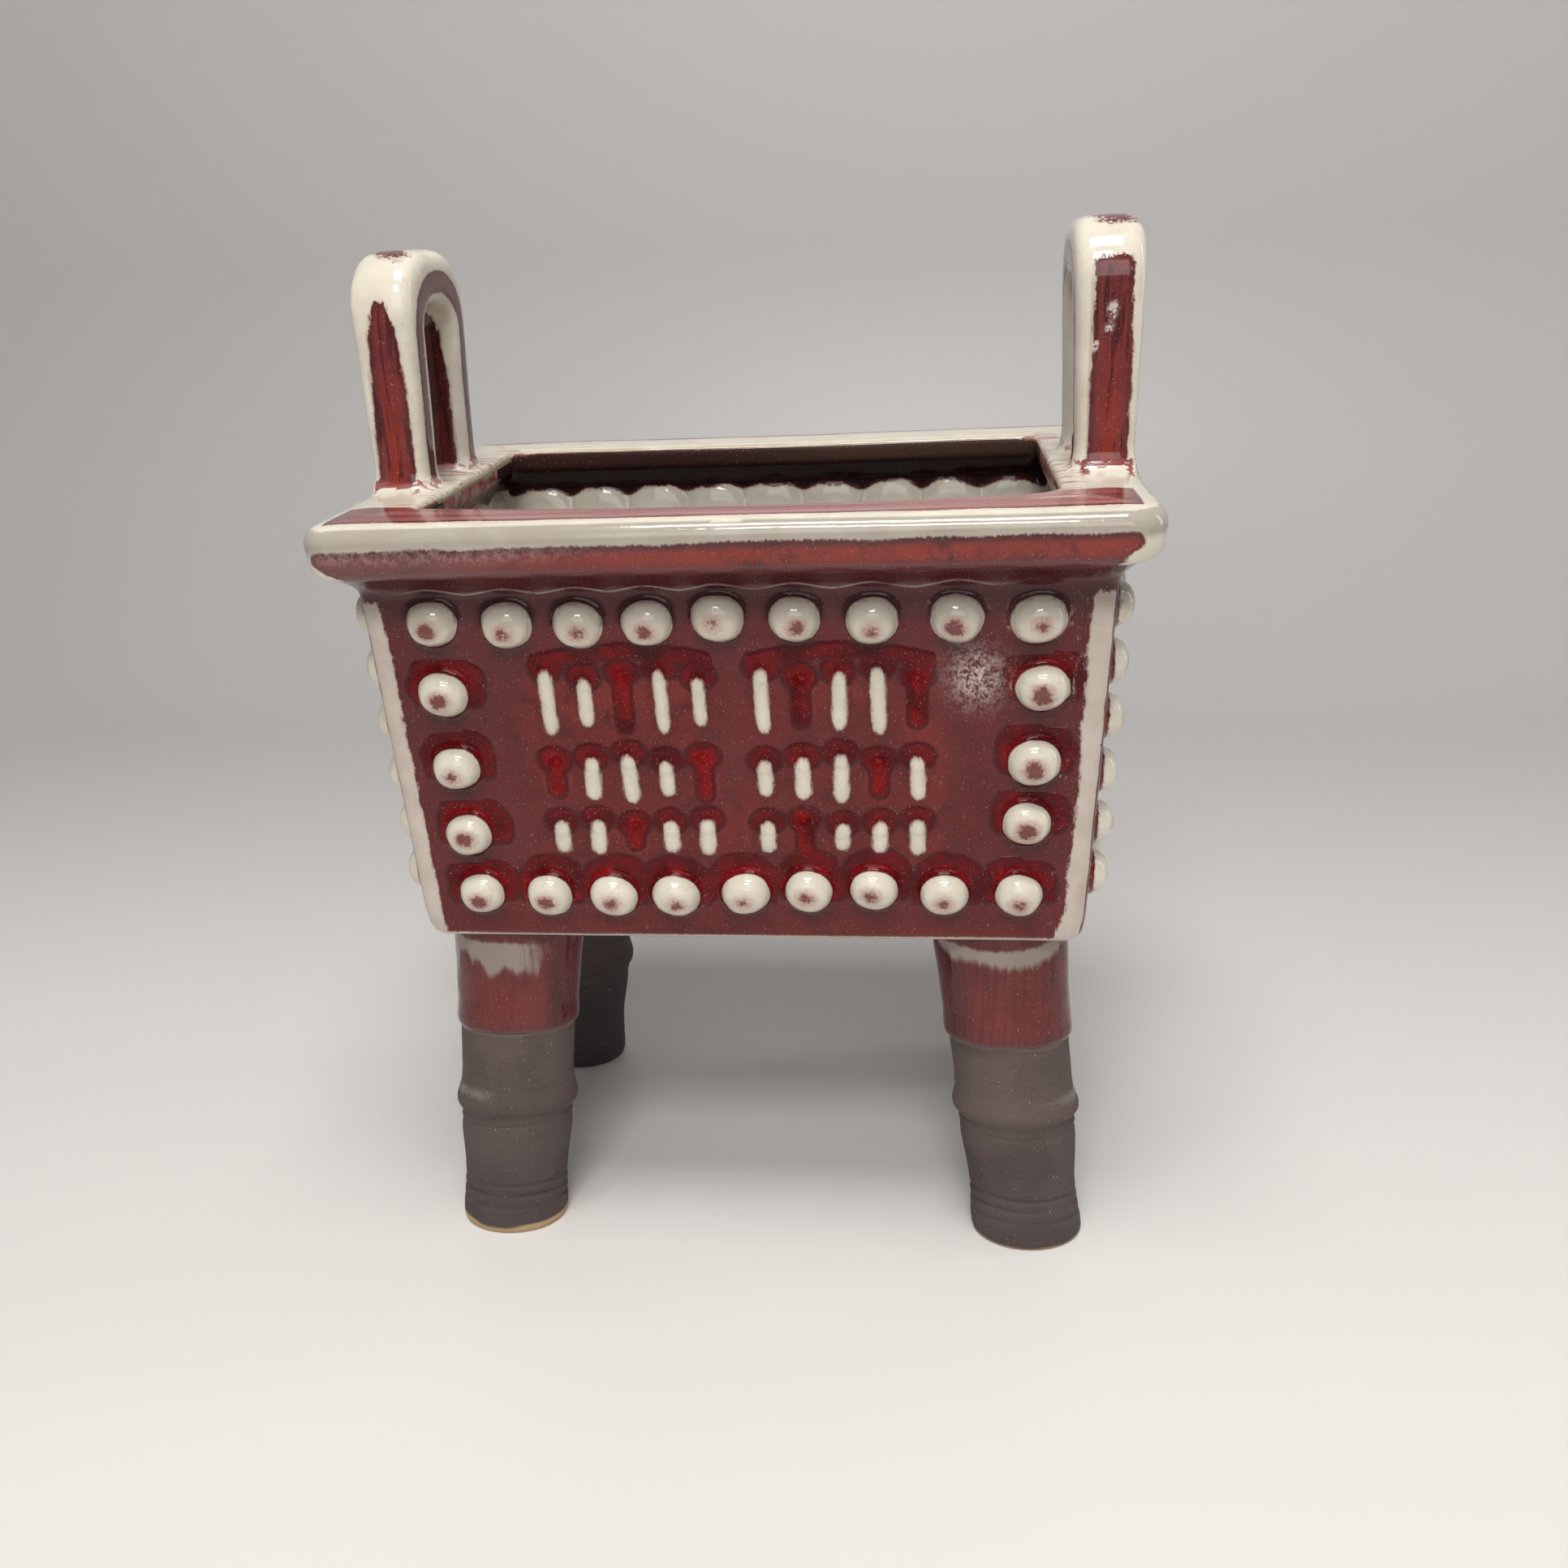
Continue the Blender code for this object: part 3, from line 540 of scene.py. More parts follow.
def with_modifiers(obj, *steps):
    """Run modifiers on an object, in order, and keep the result as its mesh."""
    for kind, settings in steps:
        modifier = obj.modifiers.new(kind.lower(), kind)
        for label, value in settings.items():
            setattr(modifier, label, value)
    return applied(obj)


casting = joined("casting", [vessel_skin] + handle_skins + [studs, strokes, swellings])
casting = with_modifiers(casting, ("REMESH", {"mode": "VOXEL", "voxel_size": VOXEL * MM}),
                         ("SMOOTH", {"factor": 0.5, "iterations": 4}))
print("casting:", len(casting.data.polygons), "faces")

# %% [markdown]
# ## The hand of the maker
# A mould leaves true planes, but drying and firing pull them about: the rim waves a little and
# the walls belly. Smooth noise moves every point by a few tenths of a millimetre, the same way
# on every run, and less towards the feet, which have to stay on the table. The rim also leans
# by about a millimetre, and sags a little more in the middle of its front edge.

# %% Smooth noise for numpy, and the small warps


def soft_noise(points, hill, seed):
    """Smooth noise from -1 to 1 at points in millimetres; hill is the width of one hill."""
    lattice = np.random.default_rng(seed).uniform(-1, 1, (24, 24, 24))
    place = np.asarray(points, float) / hill
    cell = np.floor(place).astype(int)
    part = place - cell
    part = part * part * (3 - 2 * part)
    total = np.zeros(len(place))
    for corner in np.ndindex(2, 2, 2):
        weight = np.prod(np.where(np.array(corner, bool), part, 1 - part), axis=1)
        index = (cell + corner) % 24
        total += weight * lattice[index[:, 0], index[:, 1], index[:, 2]]
    return total


def step_up(value, low, high):
    """0 under low, 1 over high and smooth between."""
    share = np.clip((value - low) / (high - low), 0, 1)
    return share * share * (3 - 2 * share)


def settling(points):
    """How far the kiln raised the rim at points, in millimetres; under 0 where it sank."""
    x, y, z = points.T
    lean = step_up(z, 142, 151) * (0.0085 * x + 0.008 * y) + 0.3 * step_up(z, 161, 168) * (x > 0)
    from_bead = np.clip((RIM_HALF_DEPTH + y) / (RIM_HALF_DEPTH - MOUTH_HALF_DEPTH), 0, 1) * (y < 0)
    return lean - 1.3 * np.maximum(0, 1 - (x / 60) ** 2) * from_bead * step_up(z, 150, 157)


def read_points(obj):
    """The points of an object's mesh in millimetres."""
    flat = np.empty(len(obj.data.vertices) * 3)
    obj.data.vertices.foreach_get("co", flat)
    return flat.reshape(-1, 3) / MM


def write_points(obj, points):
    obj.data.vertices.foreach_set("co", (np.asarray(points) * MM).ravel())
    obj.data.update()


FREE_FROM, FREE_AT = 78, 138     # nothing drifts under the first height, all may over the second
points = read_points(casting)
moved = points.copy()
freedom = np.clip((points[:, 2] - FREE_FROM) / (FREE_AT - FREE_FROM), 0, 1)
for axis, strength in ((0, 0.30), (1, 0.30), (2, 0.26)):
    moved[:, axis] += strength * freedom * soft_noise(points, 55, 21 + axis)
    moved[:, axis] += 0.05 * soft_noise(points, 11, 31 + axis)
for axis, limit in ((0, cad_high.x), (1, cad_high.y)):
    moved[:, axis] = np.clip(moved[:, axis], -limit / MM, limit / MM)
moved[:, 2] = np.minimum(moved[:, 2] + settling(points), cad_high.z / MM + 1)
write_points(casting, moved)
print("largest warp, mm:", round(float(np.abs(moved - points).max()), 2))

# %% [markdown]
# ## Two pieces from one casting
# One skin at this fineness has too many faces for one file, so a level cut inside the hollow
# under the rim parts it into the vessel and the rim with its handles. Each piece is closed
# again where it was cut. Inside the vessel, where nobody looks closely, a collapse takes out
# most of the small faces, and a vertex group keeps it off the outside.

# %% Cut the casting and thin out the hidden faces
CUT_HEIGHT = 149.9
MOST_FACES = 190_000


def cut_level(obj, name, keep_upper):
    """A closed copy of what lies over or under the cut, with sharp edges round the cut."""
    bm = bmesh.new()
    bm.from_mesh(obj.data)
    cut = bmesh.ops.bisect_plane(bm, geom=bm.verts[:] + bm.edges[:] + bm.faces[:],
                                 plane_co=(0, 0, CUT_HEIGHT * MM), plane_no=(0, 0, 1), dist=1e-6,
                                 clear_inner=keep_upper, clear_outer=not keep_upper)
    round_cut = [e for e in cut["geom_cut"] if isinstance(e, bmesh.types.BMEdge)]
    bmesh.ops.triangle_fill(bm, edges=round_cut, use_beauty=True, use_dissolve=False)
    for edge in round_cut:
        edge.smooth = False
    bmesh.ops.recalc_face_normals(bm, faces=bm.faces)
    for face in bm.faces:
        face.smooth = True
    return from_bmesh(name, bm)


def wall_reach(points):
    """How far points stand outside the leaning walls, along X and along Y, in millimetres."""
    half_length, half_depth = wall_half_sizes(points[:, 2])
    return np.abs(points[:, 0]) - half_length, np.abs(points[:, 1]) - half_depth


def triangles(obj):
    obj.data.calc_loop_triangles()
    return len(obj.data.loop_triangles)


def thin_out(obj, hidden):
    """Collapse faces where hidden is 1 until the piece has few enough."""
    count = triangles(obj)
    if count > MOST_FACES:
        group = obj.vertex_groups.new(name="hidden")
        group.add([int(i) for i in np.flatnonzero(hidden)], 1.0, "REPLACE")
        with_modifiers(obj, ("DECIMATE", {"decimate_type": "COLLAPSE", "ratio": MOST_FACES / count,
                                          "vertex_group": "hidden", "vertex_group_factor": 1.0}))
        obj.vertex_groups.clear()
    print(obj.name, "has", triangles(obj), "triangles, from", count)


vessel = cut_level(casting, "vessel", keep_upper=False)
rim = cut_level(casting, "rim_and_handles", keep_upper=True)
bpy.data.objects.remove(casting)
points = read_points(vessel)
in_hollow = (np.maximum(*wall_reach(points)) < HOLLOW_SIDE) & (points[:, 2] < 138)
thin_out(vessel, in_hollow | (points[:, 2] < BODY_BOTTOM + 0.4))
print(rim.name, "has", triangles(rim), "triangles")

# %% [markdown]
# ## The legs
# The legs were turned like stalks of bamboo: a swelling ring with a crease under it, a narrow
# shank, and fine grooves near the foot. The glaze ends part of the way down in a thick rolled
# edge, over bare dark clay. A lathe profile would do, but each leg leans outwards, is a little
# flatter from front to back, and still stands level. So each one is lofted through level
# ovals whose middles slide outwards on the way down, with a slight wobble of its own.

# %% Legs, lofted through level ovals
LEG_TOP_X, LEG_TOP_Y, LEG_SPLAY_X, LEG_SPLAY_Y = 50.3, 29.3, 7.3, 4.5
LEG_DEPTH_SHARE = 0.78
LEG_FRONT_RISE = 1.7              # rings and grooves climb this much towards the leg's outer side
LEG_PROFILE = (                   # height and radius
    (76.0, 13.9), (73.0, 13.9), (71.5, 13.75), (69.0, 13.9), (66.0, 13.75), (60.0, 13.35), (54.0, 13.05),
    (51.5, 13.1), (49.5, 13.2), (48.4, 13.1), (47.7, 12.75), (47.35, 12.35), (46.9, 12.3), (42.0, 12.25),
    (37.0, 12.3), (33.5, 12.5), (31.5, 13.0), (29.6, 13.45), (28.2, 13.35), (27.1, 12.75), (26.4, 11.9),
    (25.9, 12.1), (25.2, 12.35), (24.6, 11.95), (24.0, 12.2), (22.5, 12.25), (18.0, 11.8), (14.0, 11.4),
    (11.0, 11.35), (8.0, 11.45), (5.0, 11.6), (3.5, 11.7), (1.4, 11.7), (0.5, 11.45), (0.0, 10.9))
LEG_GROOVES = (10.6, 8.0, 5.4)
# For each leg: its sides along X and Y, how much higher its glaze ends and its ring sits, and
# the seed of its noise.
LEGS = {"leg_front_left": (-1, -1, 0.9, 1.3, 50), "leg_front_right": (1, -1, -0.3, 2.0, 60),
        "leg_back_left": (-1, 1, 0.3, 1.6, 70), "leg_back_right": (1, 1, 0.0, 1.4, 80)}
LEG_LEVELS, LEG_SIDES, LEG_MIDDLE = 190, 96, 13             # the last is a middling radius


def leg_axis(height):
    """Distance of the leg's middle from the middle of the burner, along X and along Y."""
    lean = (BODY_BOTTOM - np.minimum(height, BODY_BOTTOM)) / BODY_BOTTOM
    return LEG_TOP_X + LEG_SPLAY_X * lean, LEG_TOP_Y + LEG_SPLAY_Y * lean


def leg(name, side_x, side_y, glaze_shift, ring_shift, seed):
    profile = np.array(LEG_PROFILE)[::-1]
    levels = np.unique(np.concatenate([np.linspace(0, profile[-1, 0], LEG_LEVELS), profile[:, 0]]))
    turns = np.linspace(0, 2 * math.pi, LEG_SIDES, endpoint=False)
    wide, deep = np.cos(turns), np.sin(turns)
    rings = []
    for level in levels:
        shift = glaze_shift * np.exp(-((level - 48) / 5) ** 2) + ring_shift * np.exp(-((level - 29) / 6) ** 2)
        radius = np.interp(level - shift, profile[:, 0], profile[:, 1])
        where = np.stack([wide * LEG_MIDDLE, deep * LEG_MIDDLE, np.full(LEG_SIDES, level)], axis=1)
        radius = radius + 0.22 * soft_noise(where, 17, seed) + 0.07 * soft_noise(where, 4.5, seed + 1)
        for number, groove in enumerate(LEG_GROOVES):
            depth = 0.55 * np.clip(0.6 + 0.9 * soft_noise(where, 8, seed + 20 + number), 0.05, 1.2)
            radius = radius - depth * np.exp(-((level - groove) / 0.42) ** 2)
        axis_x, axis_y = leg_axis(level)
        from_foot = np.clip(level / 8, 0, 1)
        climb = LEG_FRONT_RISE * from_foot * np.clip((68 - level) / 14, 0, 1)
        wobble = 0.5 * from_foot * np.clip((70 - level) / 14, 0, 1)
        lift = climb * side_y * deep + wobble * soft_noise(where, 12, seed + 2)
        rings.append(np.stack([side_x * axis_x + radius * wide,
                               side_y * axis_y + radius * LEG_DEPTH_SHARE * deep, level + lift], axis=1))
    obj = loft(name, rings)
    for polygon in obj.data.polygons:
        polygon.use_smooth = len(polygon.vertices) == 4
    return obj


legs = {name: leg(name, *facts) for name, facts in LEGS.items()}
print("legs:", sum(triangles(obj) for obj in legs.values()), "triangles in", len(legs))

# %% [markdown]
# ## Where the glaze is thick and where it is thin
# The colour of this glaze follows the form, so it is worked out from the form. For every point
# of the mesh, numpy measures in millimetres how far it lies inside the red (below nothing is
# where the glaze broke to white), how far inside a pool above a stud, how much of a mauve film
# lies on it, and so on. These numbers go into named attributes, and one material reads them,
# adds the fine grain and turns them into colour. A picture could do it too, but it would
# stretch on the curved parts, and it could not be resized with the model.

# %% Helpers that measure the surface


def inside_box(across, half, upright, low, high, corner):
    """Millimetres inside the edge of an upright box with round corners; under 0 outside it."""
    a = np.abs(across) - (half - corner)
    b = np.abs(upright - (low + high) / 2) - ((high - low) / 2 - corner)
    return corner - np.hypot(np.maximum(a, 0), np.maximum(b, 0)) - np.minimum(np.maximum(a, b), 0)


# The field dark makes the colour darker, and mostly it is painted shade: under the rim, over the top row of
# studs, under each stud, inside the hollow and the mouth, on the inner faces of the handles and on the back
# legs, with a painted dark reflection down the legs; on the front it also darkens the pits of the glaze. The
# film field is partly painted shade too, and the field that lays the legs' white collar also paints a
# highlight on their rings.
RESTING = {"red": 5.0, "pool": -5.0, "clay": 20.0, "seam": 5.0}         # where a piece doesn't say
GLAZE_FIELDS = (*RESTING, "film", "dark", "blush", "brushed", "fur", "dust", "tan", "warm", "veil", "runs",
                "wash")


def store(obj, **fields):
    """Write every glaze field to the mesh as a named attribute, one number for each point."""
    for label in GLAZE_FIELDS:
        values = np.broadcast_to(fields.get(label, RESTING.get(label, 0.0)), len(obj.data.vertices))
        attribute = obj.data.attributes.new(label, "FLOAT", "POINT")
        attribute.data.foreach_set("value", np.ascontiguousarray(values, np.float32))
    print(obj.name, {label: (round(float(np.min(v)), 1), round(float(np.max(v)), 1))
                     for label, v in fields.items()})


def normals(obj):
    flat = np.empty(len(obj.data.vertices) * 3, np.float32)
    obj.data.vertex_normals.foreach_get("vector", flat)
    return flat.reshape(-1, 3)


def step_down(value, low, high):
    """1 under low, 0 over high and smooth between."""
    return 1 - step_up(value, low, high)


def bell(beside, above, spread):
    """A soft round spot: 1 in its middle and near 0 outside it."""
    return np.exp(-(beside ** 2 + above ** 2) / spread)


# %% [markdown]
# ### The vessel's glaze
# On the walls the white shows wherever something stands out: the studs, the strokes, a band down
# each corner and a thin line along the lower edge. A hood of deep red sits on the upper side
# of each stud, where the running glaze was dammed. Over the studs of the top row, under the rim,
# sits a nearly black crescent instead, which is painted shade, as is the darker band under the rim.

# %% Distances from the studs, the strokes and the swellings
stud_points = np.array([on_wall(*place)[0] for place in stud_places])
stud_along = np.array([FACES[face][0] for face, _, _ in stud_places], float)
stud_up = np.array([on_wall(*place)[2] for place in stud_places])
stud_height = np.array([height for _, _, height in stud_places])


def nearest_stud(points, batch=20000):
    """Place beside and above the nearest stud in millimetres, and which stud it is."""
    nearest = np.empty(len(points), int)
    for first in range(0, len(points), batch):
        gaps = ((points[first:first + batch, None, :] - stud_points[None]) ** 2).sum(axis=2)
        nearest[first:first + batch] = gaps.argmin(axis=1)
    offset = points - stud_points[nearest]
    return (offset * stud_along[nearest]).sum(axis=1), (offset * stud_up[nearest]).sum(axis=1), nearest


def nearest_stroke(x, z):
    """Millimetres outside the nearest stroke, height over its top end, and which stroke it is."""
    gap, over, which = np.full(len(x), 99.0), np.full(len(x), 99.0), np.zeros(len(x), int)
    for number, (along, height, length) in enumerate(stroke_places):
        reach = max((length - STROKE_WIDTH) / 2, 0)
        here = np.hypot(x - along, np.maximum(np.abs(z - height) - reach, 0)) - STROKE_WIDTH / 2
        hood_gap = np.hypot((x - along) * 0.8, z - height - reach - 1.3) - 2.9
        over = np.minimum(over, hood_gap)
        which = np.where(here < gap, number, which)
        gap = np.minimum(gap, here)
    return gap, over, which


LONG_REACH, SHORT_REACH = (max(along for along, _ in border(face)) for face in ("front", "left"))


def swelling_band(points):
    """Millimetres outside the white band of the inner walls, and 0 on a swelling to 1 between two."""
    x, y, z = points.T
    out_x, out_y = wall_reach(points)
    on_long = out_y > out_x
    beat = (np.where(on_long, x / LONG_REACH, y / SHORT_REACH) + 1) / 2 * np.where(on_long, 8, 4)
    between = np.abs(beat - np.round(beat)) * 2
    top = 151.0 - 1.5 * step_up(between, 0.35, 1.0) + 0.7 * soft_noise(points, 5, 46)
    return np.maximum(z - top, 135.5 - z), between

# %% Measure the vessel


def measure_vessel(obj):
    points, facing = read_points(obj), normals(obj)
    x, y, z = points.T
    z = z - settling(points)
    out_x, out_y = wall_reach(points)
    rise = np.maximum(out_x, out_y)
    outer = rise > HOLLOW_SIDE
    on_long = out_y > out_x
    to_corner = np.where(on_long, -out_x, -out_y)
    beside, above, nearest = nearest_stud(points)
    chance = np.random.default_rng(5)
    grade = chance.uniform(0.6, 1.25, len(stud_places))[nearest] + 0.15 * (x > 30)
    shift_u, shift_v, hood_side = (chance.normal(middle, spread, len(stud_places))[nearest]
                                   for middle, spread in ((0, 0.35), (-0.5, 0.25), (0.5, 0.5)))
    top_row = stud_height[nearest] > TOP_STUD - 1
    from_stud = np.hypot(beside, above)
    near, on_stud = from_stud < 11, from_stud < 5.6
    wave, ripple = soft_noise(points * (0.3, 0.3, 1.0), 7, 41), soft_noise(points, 2.6, 42)
    front = on_long & (y < 0) & (rise < 2) & outer
    right_front = on_long & (y < 0) & (x > 0)

    # red and white: bands down the corners, raised places, the lower edge
    band = np.where(on_long, 4.4, 1.0) + 0.5 * wave + 0.15 * ripple + 1.6 * right_front * step_down(z, 74, 83)
    corner = np.maximum(to_corner - band, (z - 144.5 - 0.8 * wave) * 0.6)
    crest = np.where(top_row, 0.75, np.where(stud_height[nearest] < BOTTOM_STUD + 1.5, 1.15, 0.95))
    raised = np.where(on_stud, crest - rise, 0.32 - rise) * 1.5 + np.maximum(0, z - 145.2) * 5
    lower_edge = z - BODY_BOTTOM - 1.4 - 0.25 * wave
    red = np.minimum(np.minimum(corner, raised),
                     np.maximum(lower_edge, np.where(z < BODY_BOTTOM + 0.5, 3, -9)))

    # pools: hoods over the studs and the strokes, and the arch over each block of strokes
    hood = np.minimum(7.3 + 0.6 * ripple - np.hypot(beside * 0.95 - hood_side * 0.8, above - 1.4),
                      (above + 2.6 + 0.6 * ripple) * 0.8)
    # the shape of the painted shade over each stud of the top row
    top_row_shade_shape = np.minimum(5.6 - np.hypot(beside, (above - 0.9) * 1.1), above * 1.3)
    pool = np.where(near & ~top_row, hood, -5.0)
    gap, over, which = nearest_stroke(x, z)
    all_red = np.array([number % 7 in (2, 5) for number in range(len(stroke_places))])[which]
    top_line = TOP_STUD - STUD_RADIUS - STROKE_TOP_MARGIN
    for block in (-0.5, 0.5):
        share = (x - STROKE_BLOCK_SHIFT - block * STROKE_BLOCK_SPACING) / 17.5
        arch_line = top_line + 0.6 + 2.4 * np.maximum(0, 1 - share ** 2)
        over = np.minimum(over, np.where(np.abs(share) < 1, np.abs(z - arch_line) - 1.7, 9))
    pool = np.where(front, np.maximum(pool, -over - 0.2 * ripple), pool)
    pool = np.where(front & all_red, np.maximum(pool, 0.5 - gap), pool)
    red = np.where(front & all_red & (gap < 1), np.maximum(red, 1.5), red)

    # the mauve film, and painted shade: more film and darkness in a band under the rim, a nearly black
    # crescent over each stud of the top row, and a patch under each stud that is partly painted shadow and
    # partly thicker glaze; the pits of the glaze darken too
    rim_shade = step_up(z, 137.5, 144.5)
    # more film under the rim is painted shade, and under each stud it is partly painted shadow
    film = 0.55 + 0.45 * rim_shade + 0.25 * near * step_up(-above, 3, 6) - 0.45 * step_down(z, 75, 83)
    film = film - 0.3 * (step_up(4.5 - gap, 0, 3) * front) + 0.2 * step_up(-x, 25, 60) * front
    film = film * (1 - 0.75 * step_up(pool, -0.2, 1.0))
    # painted shade: a nearly black crescent over each stud of the top row
    painted_shade_over_top_row = np.where(near & top_row & (rise < 1), 0.9 * step_up(top_row_shade_shape, -0.4, 0.8), 0) * (z > 138)
    dark = 0.62 * rim_shade + painted_shade_over_top_row
    # painted shadow under each stud, partly thicker glaze
    painted_shadow_under_stud = near * step_up(-above, 2.6, 4.4) * step_up(6.0 - np.hypot(beside, above + 1.0), 0, 1.4)
    pits = step_up(soft_noise(points * (1, 1, 0.7), 5, 43), 0.9, 1.6) * front * step_up(6 - gap, 0, 2)
    dark = np.maximum(dark, 0.6 * np.maximum(painted_shadow_under_stud, 0.7 * pits))

    # red spots on the studs and stains in the white
    blush = (grade + 0.15) * bell(beside - shift_u, (above - shift_v) * 1.2, 4.2)
    blush = (blush + 0.16 * bell(beside, above + 1.6, 12)) * (rise > 1.2)
    spot = 1.5 * bell(beside + 0.1, above + 0.5, 5.0) * (rise > 1.5)
    blush = np.where(right_front & (x > 50) & ~top_row & (z > 90), spot, blush)
    stains = right_front * (to_corner < 5) * step_up(soft_noise(points, 6, 45), 0.1, 0.8)
    stains = 0.42 * stains * (step_up(z, 122, 140) + step_down(z, 84, 100))
    blush = np.maximum(blush, stains * (rise > -1.5))
    warm = front * step_up(soft_noise(points, 9, 44), -0.1, 0.7) * np.maximum(
        0.75 * step_up(6 - gap, 0, 3), 0.55 * step_down(z, 80, 88))
    veil = 0.35 * front * step_up(-x, 22, 60) * step_up(z, 95, 130) * step_up(red, 0.2, 1.2)
    scuff = 1.3 * bell(x - 44.7, (z - 129.0) * 0.9, 17) * front
    seam = z - 146.2 - np.where(top_row, 1.3 * bell(beside, 0, 4.5 ** 2), 0) - 0.35 * wave

    # the hollow: white swellings over a red floor, and painted shade darkens all but the white band, most
    # high up under the lip
    pillow, between = swelling_band(points)
    red = np.where(outer, red, np.where(z > BODY_BOTTOM + FLOOR + 8, pillow, 4.0))
    film = np.where(outer, np.where(red < 0.3, np.where(on_stud | (gap < 1), 0.12, 0.6), film), 0.25)
    dark = np.where(outer, dark, step_up(pillow, 0, 0.8) * (0.7 + 0.3 * step_up(z, 143, 149)))
    blush = np.where(outer, blush, 0.4 * step_up(between, 0.82, 1.0) * step_up(z, 138, 146))
    # faces that look down under the body get more mauve film: painted shade
    film = np.where((facing[:, 2] < -0.7) & (z < BODY_BOTTOM + 2), 0.8, film)
    fur = np.where(front & (gap < 2.5), 0.2, 0.12) + 0.3 * (to_corner < 8) * outer
    store(obj, red=red, pool=np.where(outer, pool, -5.0), film=film, dark=np.clip(dark, 0, 1), blush=blush,
          seam=np.where(outer, seam, 5.0), fur=fur, dust=scuff, warm=warm, veil=np.where(outer, veil, 0))


measure_vessel(vessel)

# %% [markdown]
# ### The glaze of the rim and the handles
# The rim's face carries a red channel with round ends inside a white bead. Its flat top was
# wiped along its length before firing, which left streaks of pink and white. The handles are
# white along all their soft edges and red in the middle of each flat, and a mauve stripe
# runs round both sides of the loop.

# %% Measure the handles
HANDLE_FROM = 161.7               # over this height the piece is a handle
FRONT_TOP = -34.5                 # in front of this the rim's top is its front


def arch_reach(along, height, half_length, top, corner):
    """Millimetres inside an arch that has no floor; under 0 outside it."""
    return inside_box(along, half_length, height, top - 200, top, corner)


def handle_fields(points, z, wave):
    """The glaze of the handles, the white they stand in, and where red is smeared at their feet."""
    x, y, _ = points.T
    on_right = x > 0
    middle_x, turn = (np.where(on_right, HANDLE_PLACES[1][i], HANDLE_PLACES[-1][i]) for i in (0, 1))
    across = (x - middle_x) * np.cos(turn) + y * np.sin(turn)
    local_y = y * np.cos(turn) - (x - middle_x) * np.sin(turn)
    rise = z - RIM_TOP
    from_outer = arch_reach(local_y, rise, HANDLE_HALF_LENGTH, HANDLE_HEIGHT, HANDLE_OUTER_CORNER)
    from_inner = -arch_reach(local_y, rise, HANDLE_HALF_LENGTH - HANDLE_STRAP, HANDLE_HEIGHT - HANDLE_BAR,
                             HANDLE_INNER_CORNER)
    outer_face = from_outer < from_inner

    # a red panel down the middle of each flat, a mauve stripe round each side, smudges on top
    top_end = np.where(outer_face, np.where(on_right, 37.8, 35.6), 33.0) + 0.8 * wave
    half = np.where(on_right, np.interp(rise, (0, 10, 25, 36), (3.7, 3.9, 3.75, 3.4)),
                    np.interp(rise, (0, 18, 29, 35.5), (4.1, 3.5, 2.9, 1.4)))
    beside = across - np.where(on_right, 0.5, np.interp(rise, (0, 18, 30), (-0.3, 0.25, 0.35)))
    panel = inside_box(beside, half + 0.2 * wave, rise, -20, top_end, 1.4)
    panel = np.where(np.minimum(from_outer, from_inner) < 1.9, panel, -3.0)
    over_hole = step_up(rise, 30, 37)
    stripe = 1.5 + 0.6 * over_hole - np.abs(from_inner - 4.8 + 0.2 * over_hole) + 0.15 * wave
    stripe = np.where(np.abs(across) > 4.4, stripe, -3.0)
    smudge = 1.15 - np.hypot((across - 1.2) * 0.40, (local_y + 5.5) * 0.36)
    smudge = smudge + 1.1 * soft_noise(points * (0.6, 1, 1.5), 2.8, 66)
    smudge = np.where((rise > HANDLE_HEIGHT - 4) & (from_outer < 2), np.minimum(smudge, 0.6), -3.0)
    red = np.maximum(np.maximum(panel, stripe), smudge)
    is_stripe = (stripe > panel) & (stripe > smudge)

    fur = np.where(panel > stripe, 0.35 + 0.5 * step_up(rise, 27, 34), 0.25)
    chips = np.zeros(len(points))
    for chip_x, chip_z, size in ((69.7, 189.9, 0.5), (70.0, 188.9, 0.35), (69.1, 186.5, 0.45),
                                 (66.5, 183.3, 0.4)):
        chips = np.maximum(chips, 7 * bell(x - chip_x, (z - chip_z) * 0.7, size ** 2))
    near_foot = (rise < 1.6) & (
        np.hypot(np.maximum(np.abs(across) - 6, 0), np.maximum(np.abs(local_y) - 15, 0)) < 5)
    smeared = near_foot & (np.abs(beside) < 5) & (local_y < -12)
    fields = {
        "red": red, "tan": 0, "runs": panel > -1.5, "veil": np.where(is_stripe, 0.85, 0.22),
        "film": np.where(red < -0.5, 0.1,
                         np.where(smudge > panel, 0.6, 0.15 + 0.5 * step_up(-beside, 0.5, 3.0))),
        # the inner faces of the loop, where the panel is red, are darkened: painted shade
        "dark": np.where(~outer_face & (panel > 0), 0.45, 0.0) * ~is_stripe,
        "warm": 0.8 * step_down(rise, 8, 28) * step_up(2.6 - np.abs(beside), 0, 2) * outer_face,
        "fur": np.where(smudge > np.maximum(panel, stripe), 0.9, fur), "chips": chips}
    return fields, near_foot, smeared, smeared & (panel < 0)

# %% Measure the rim


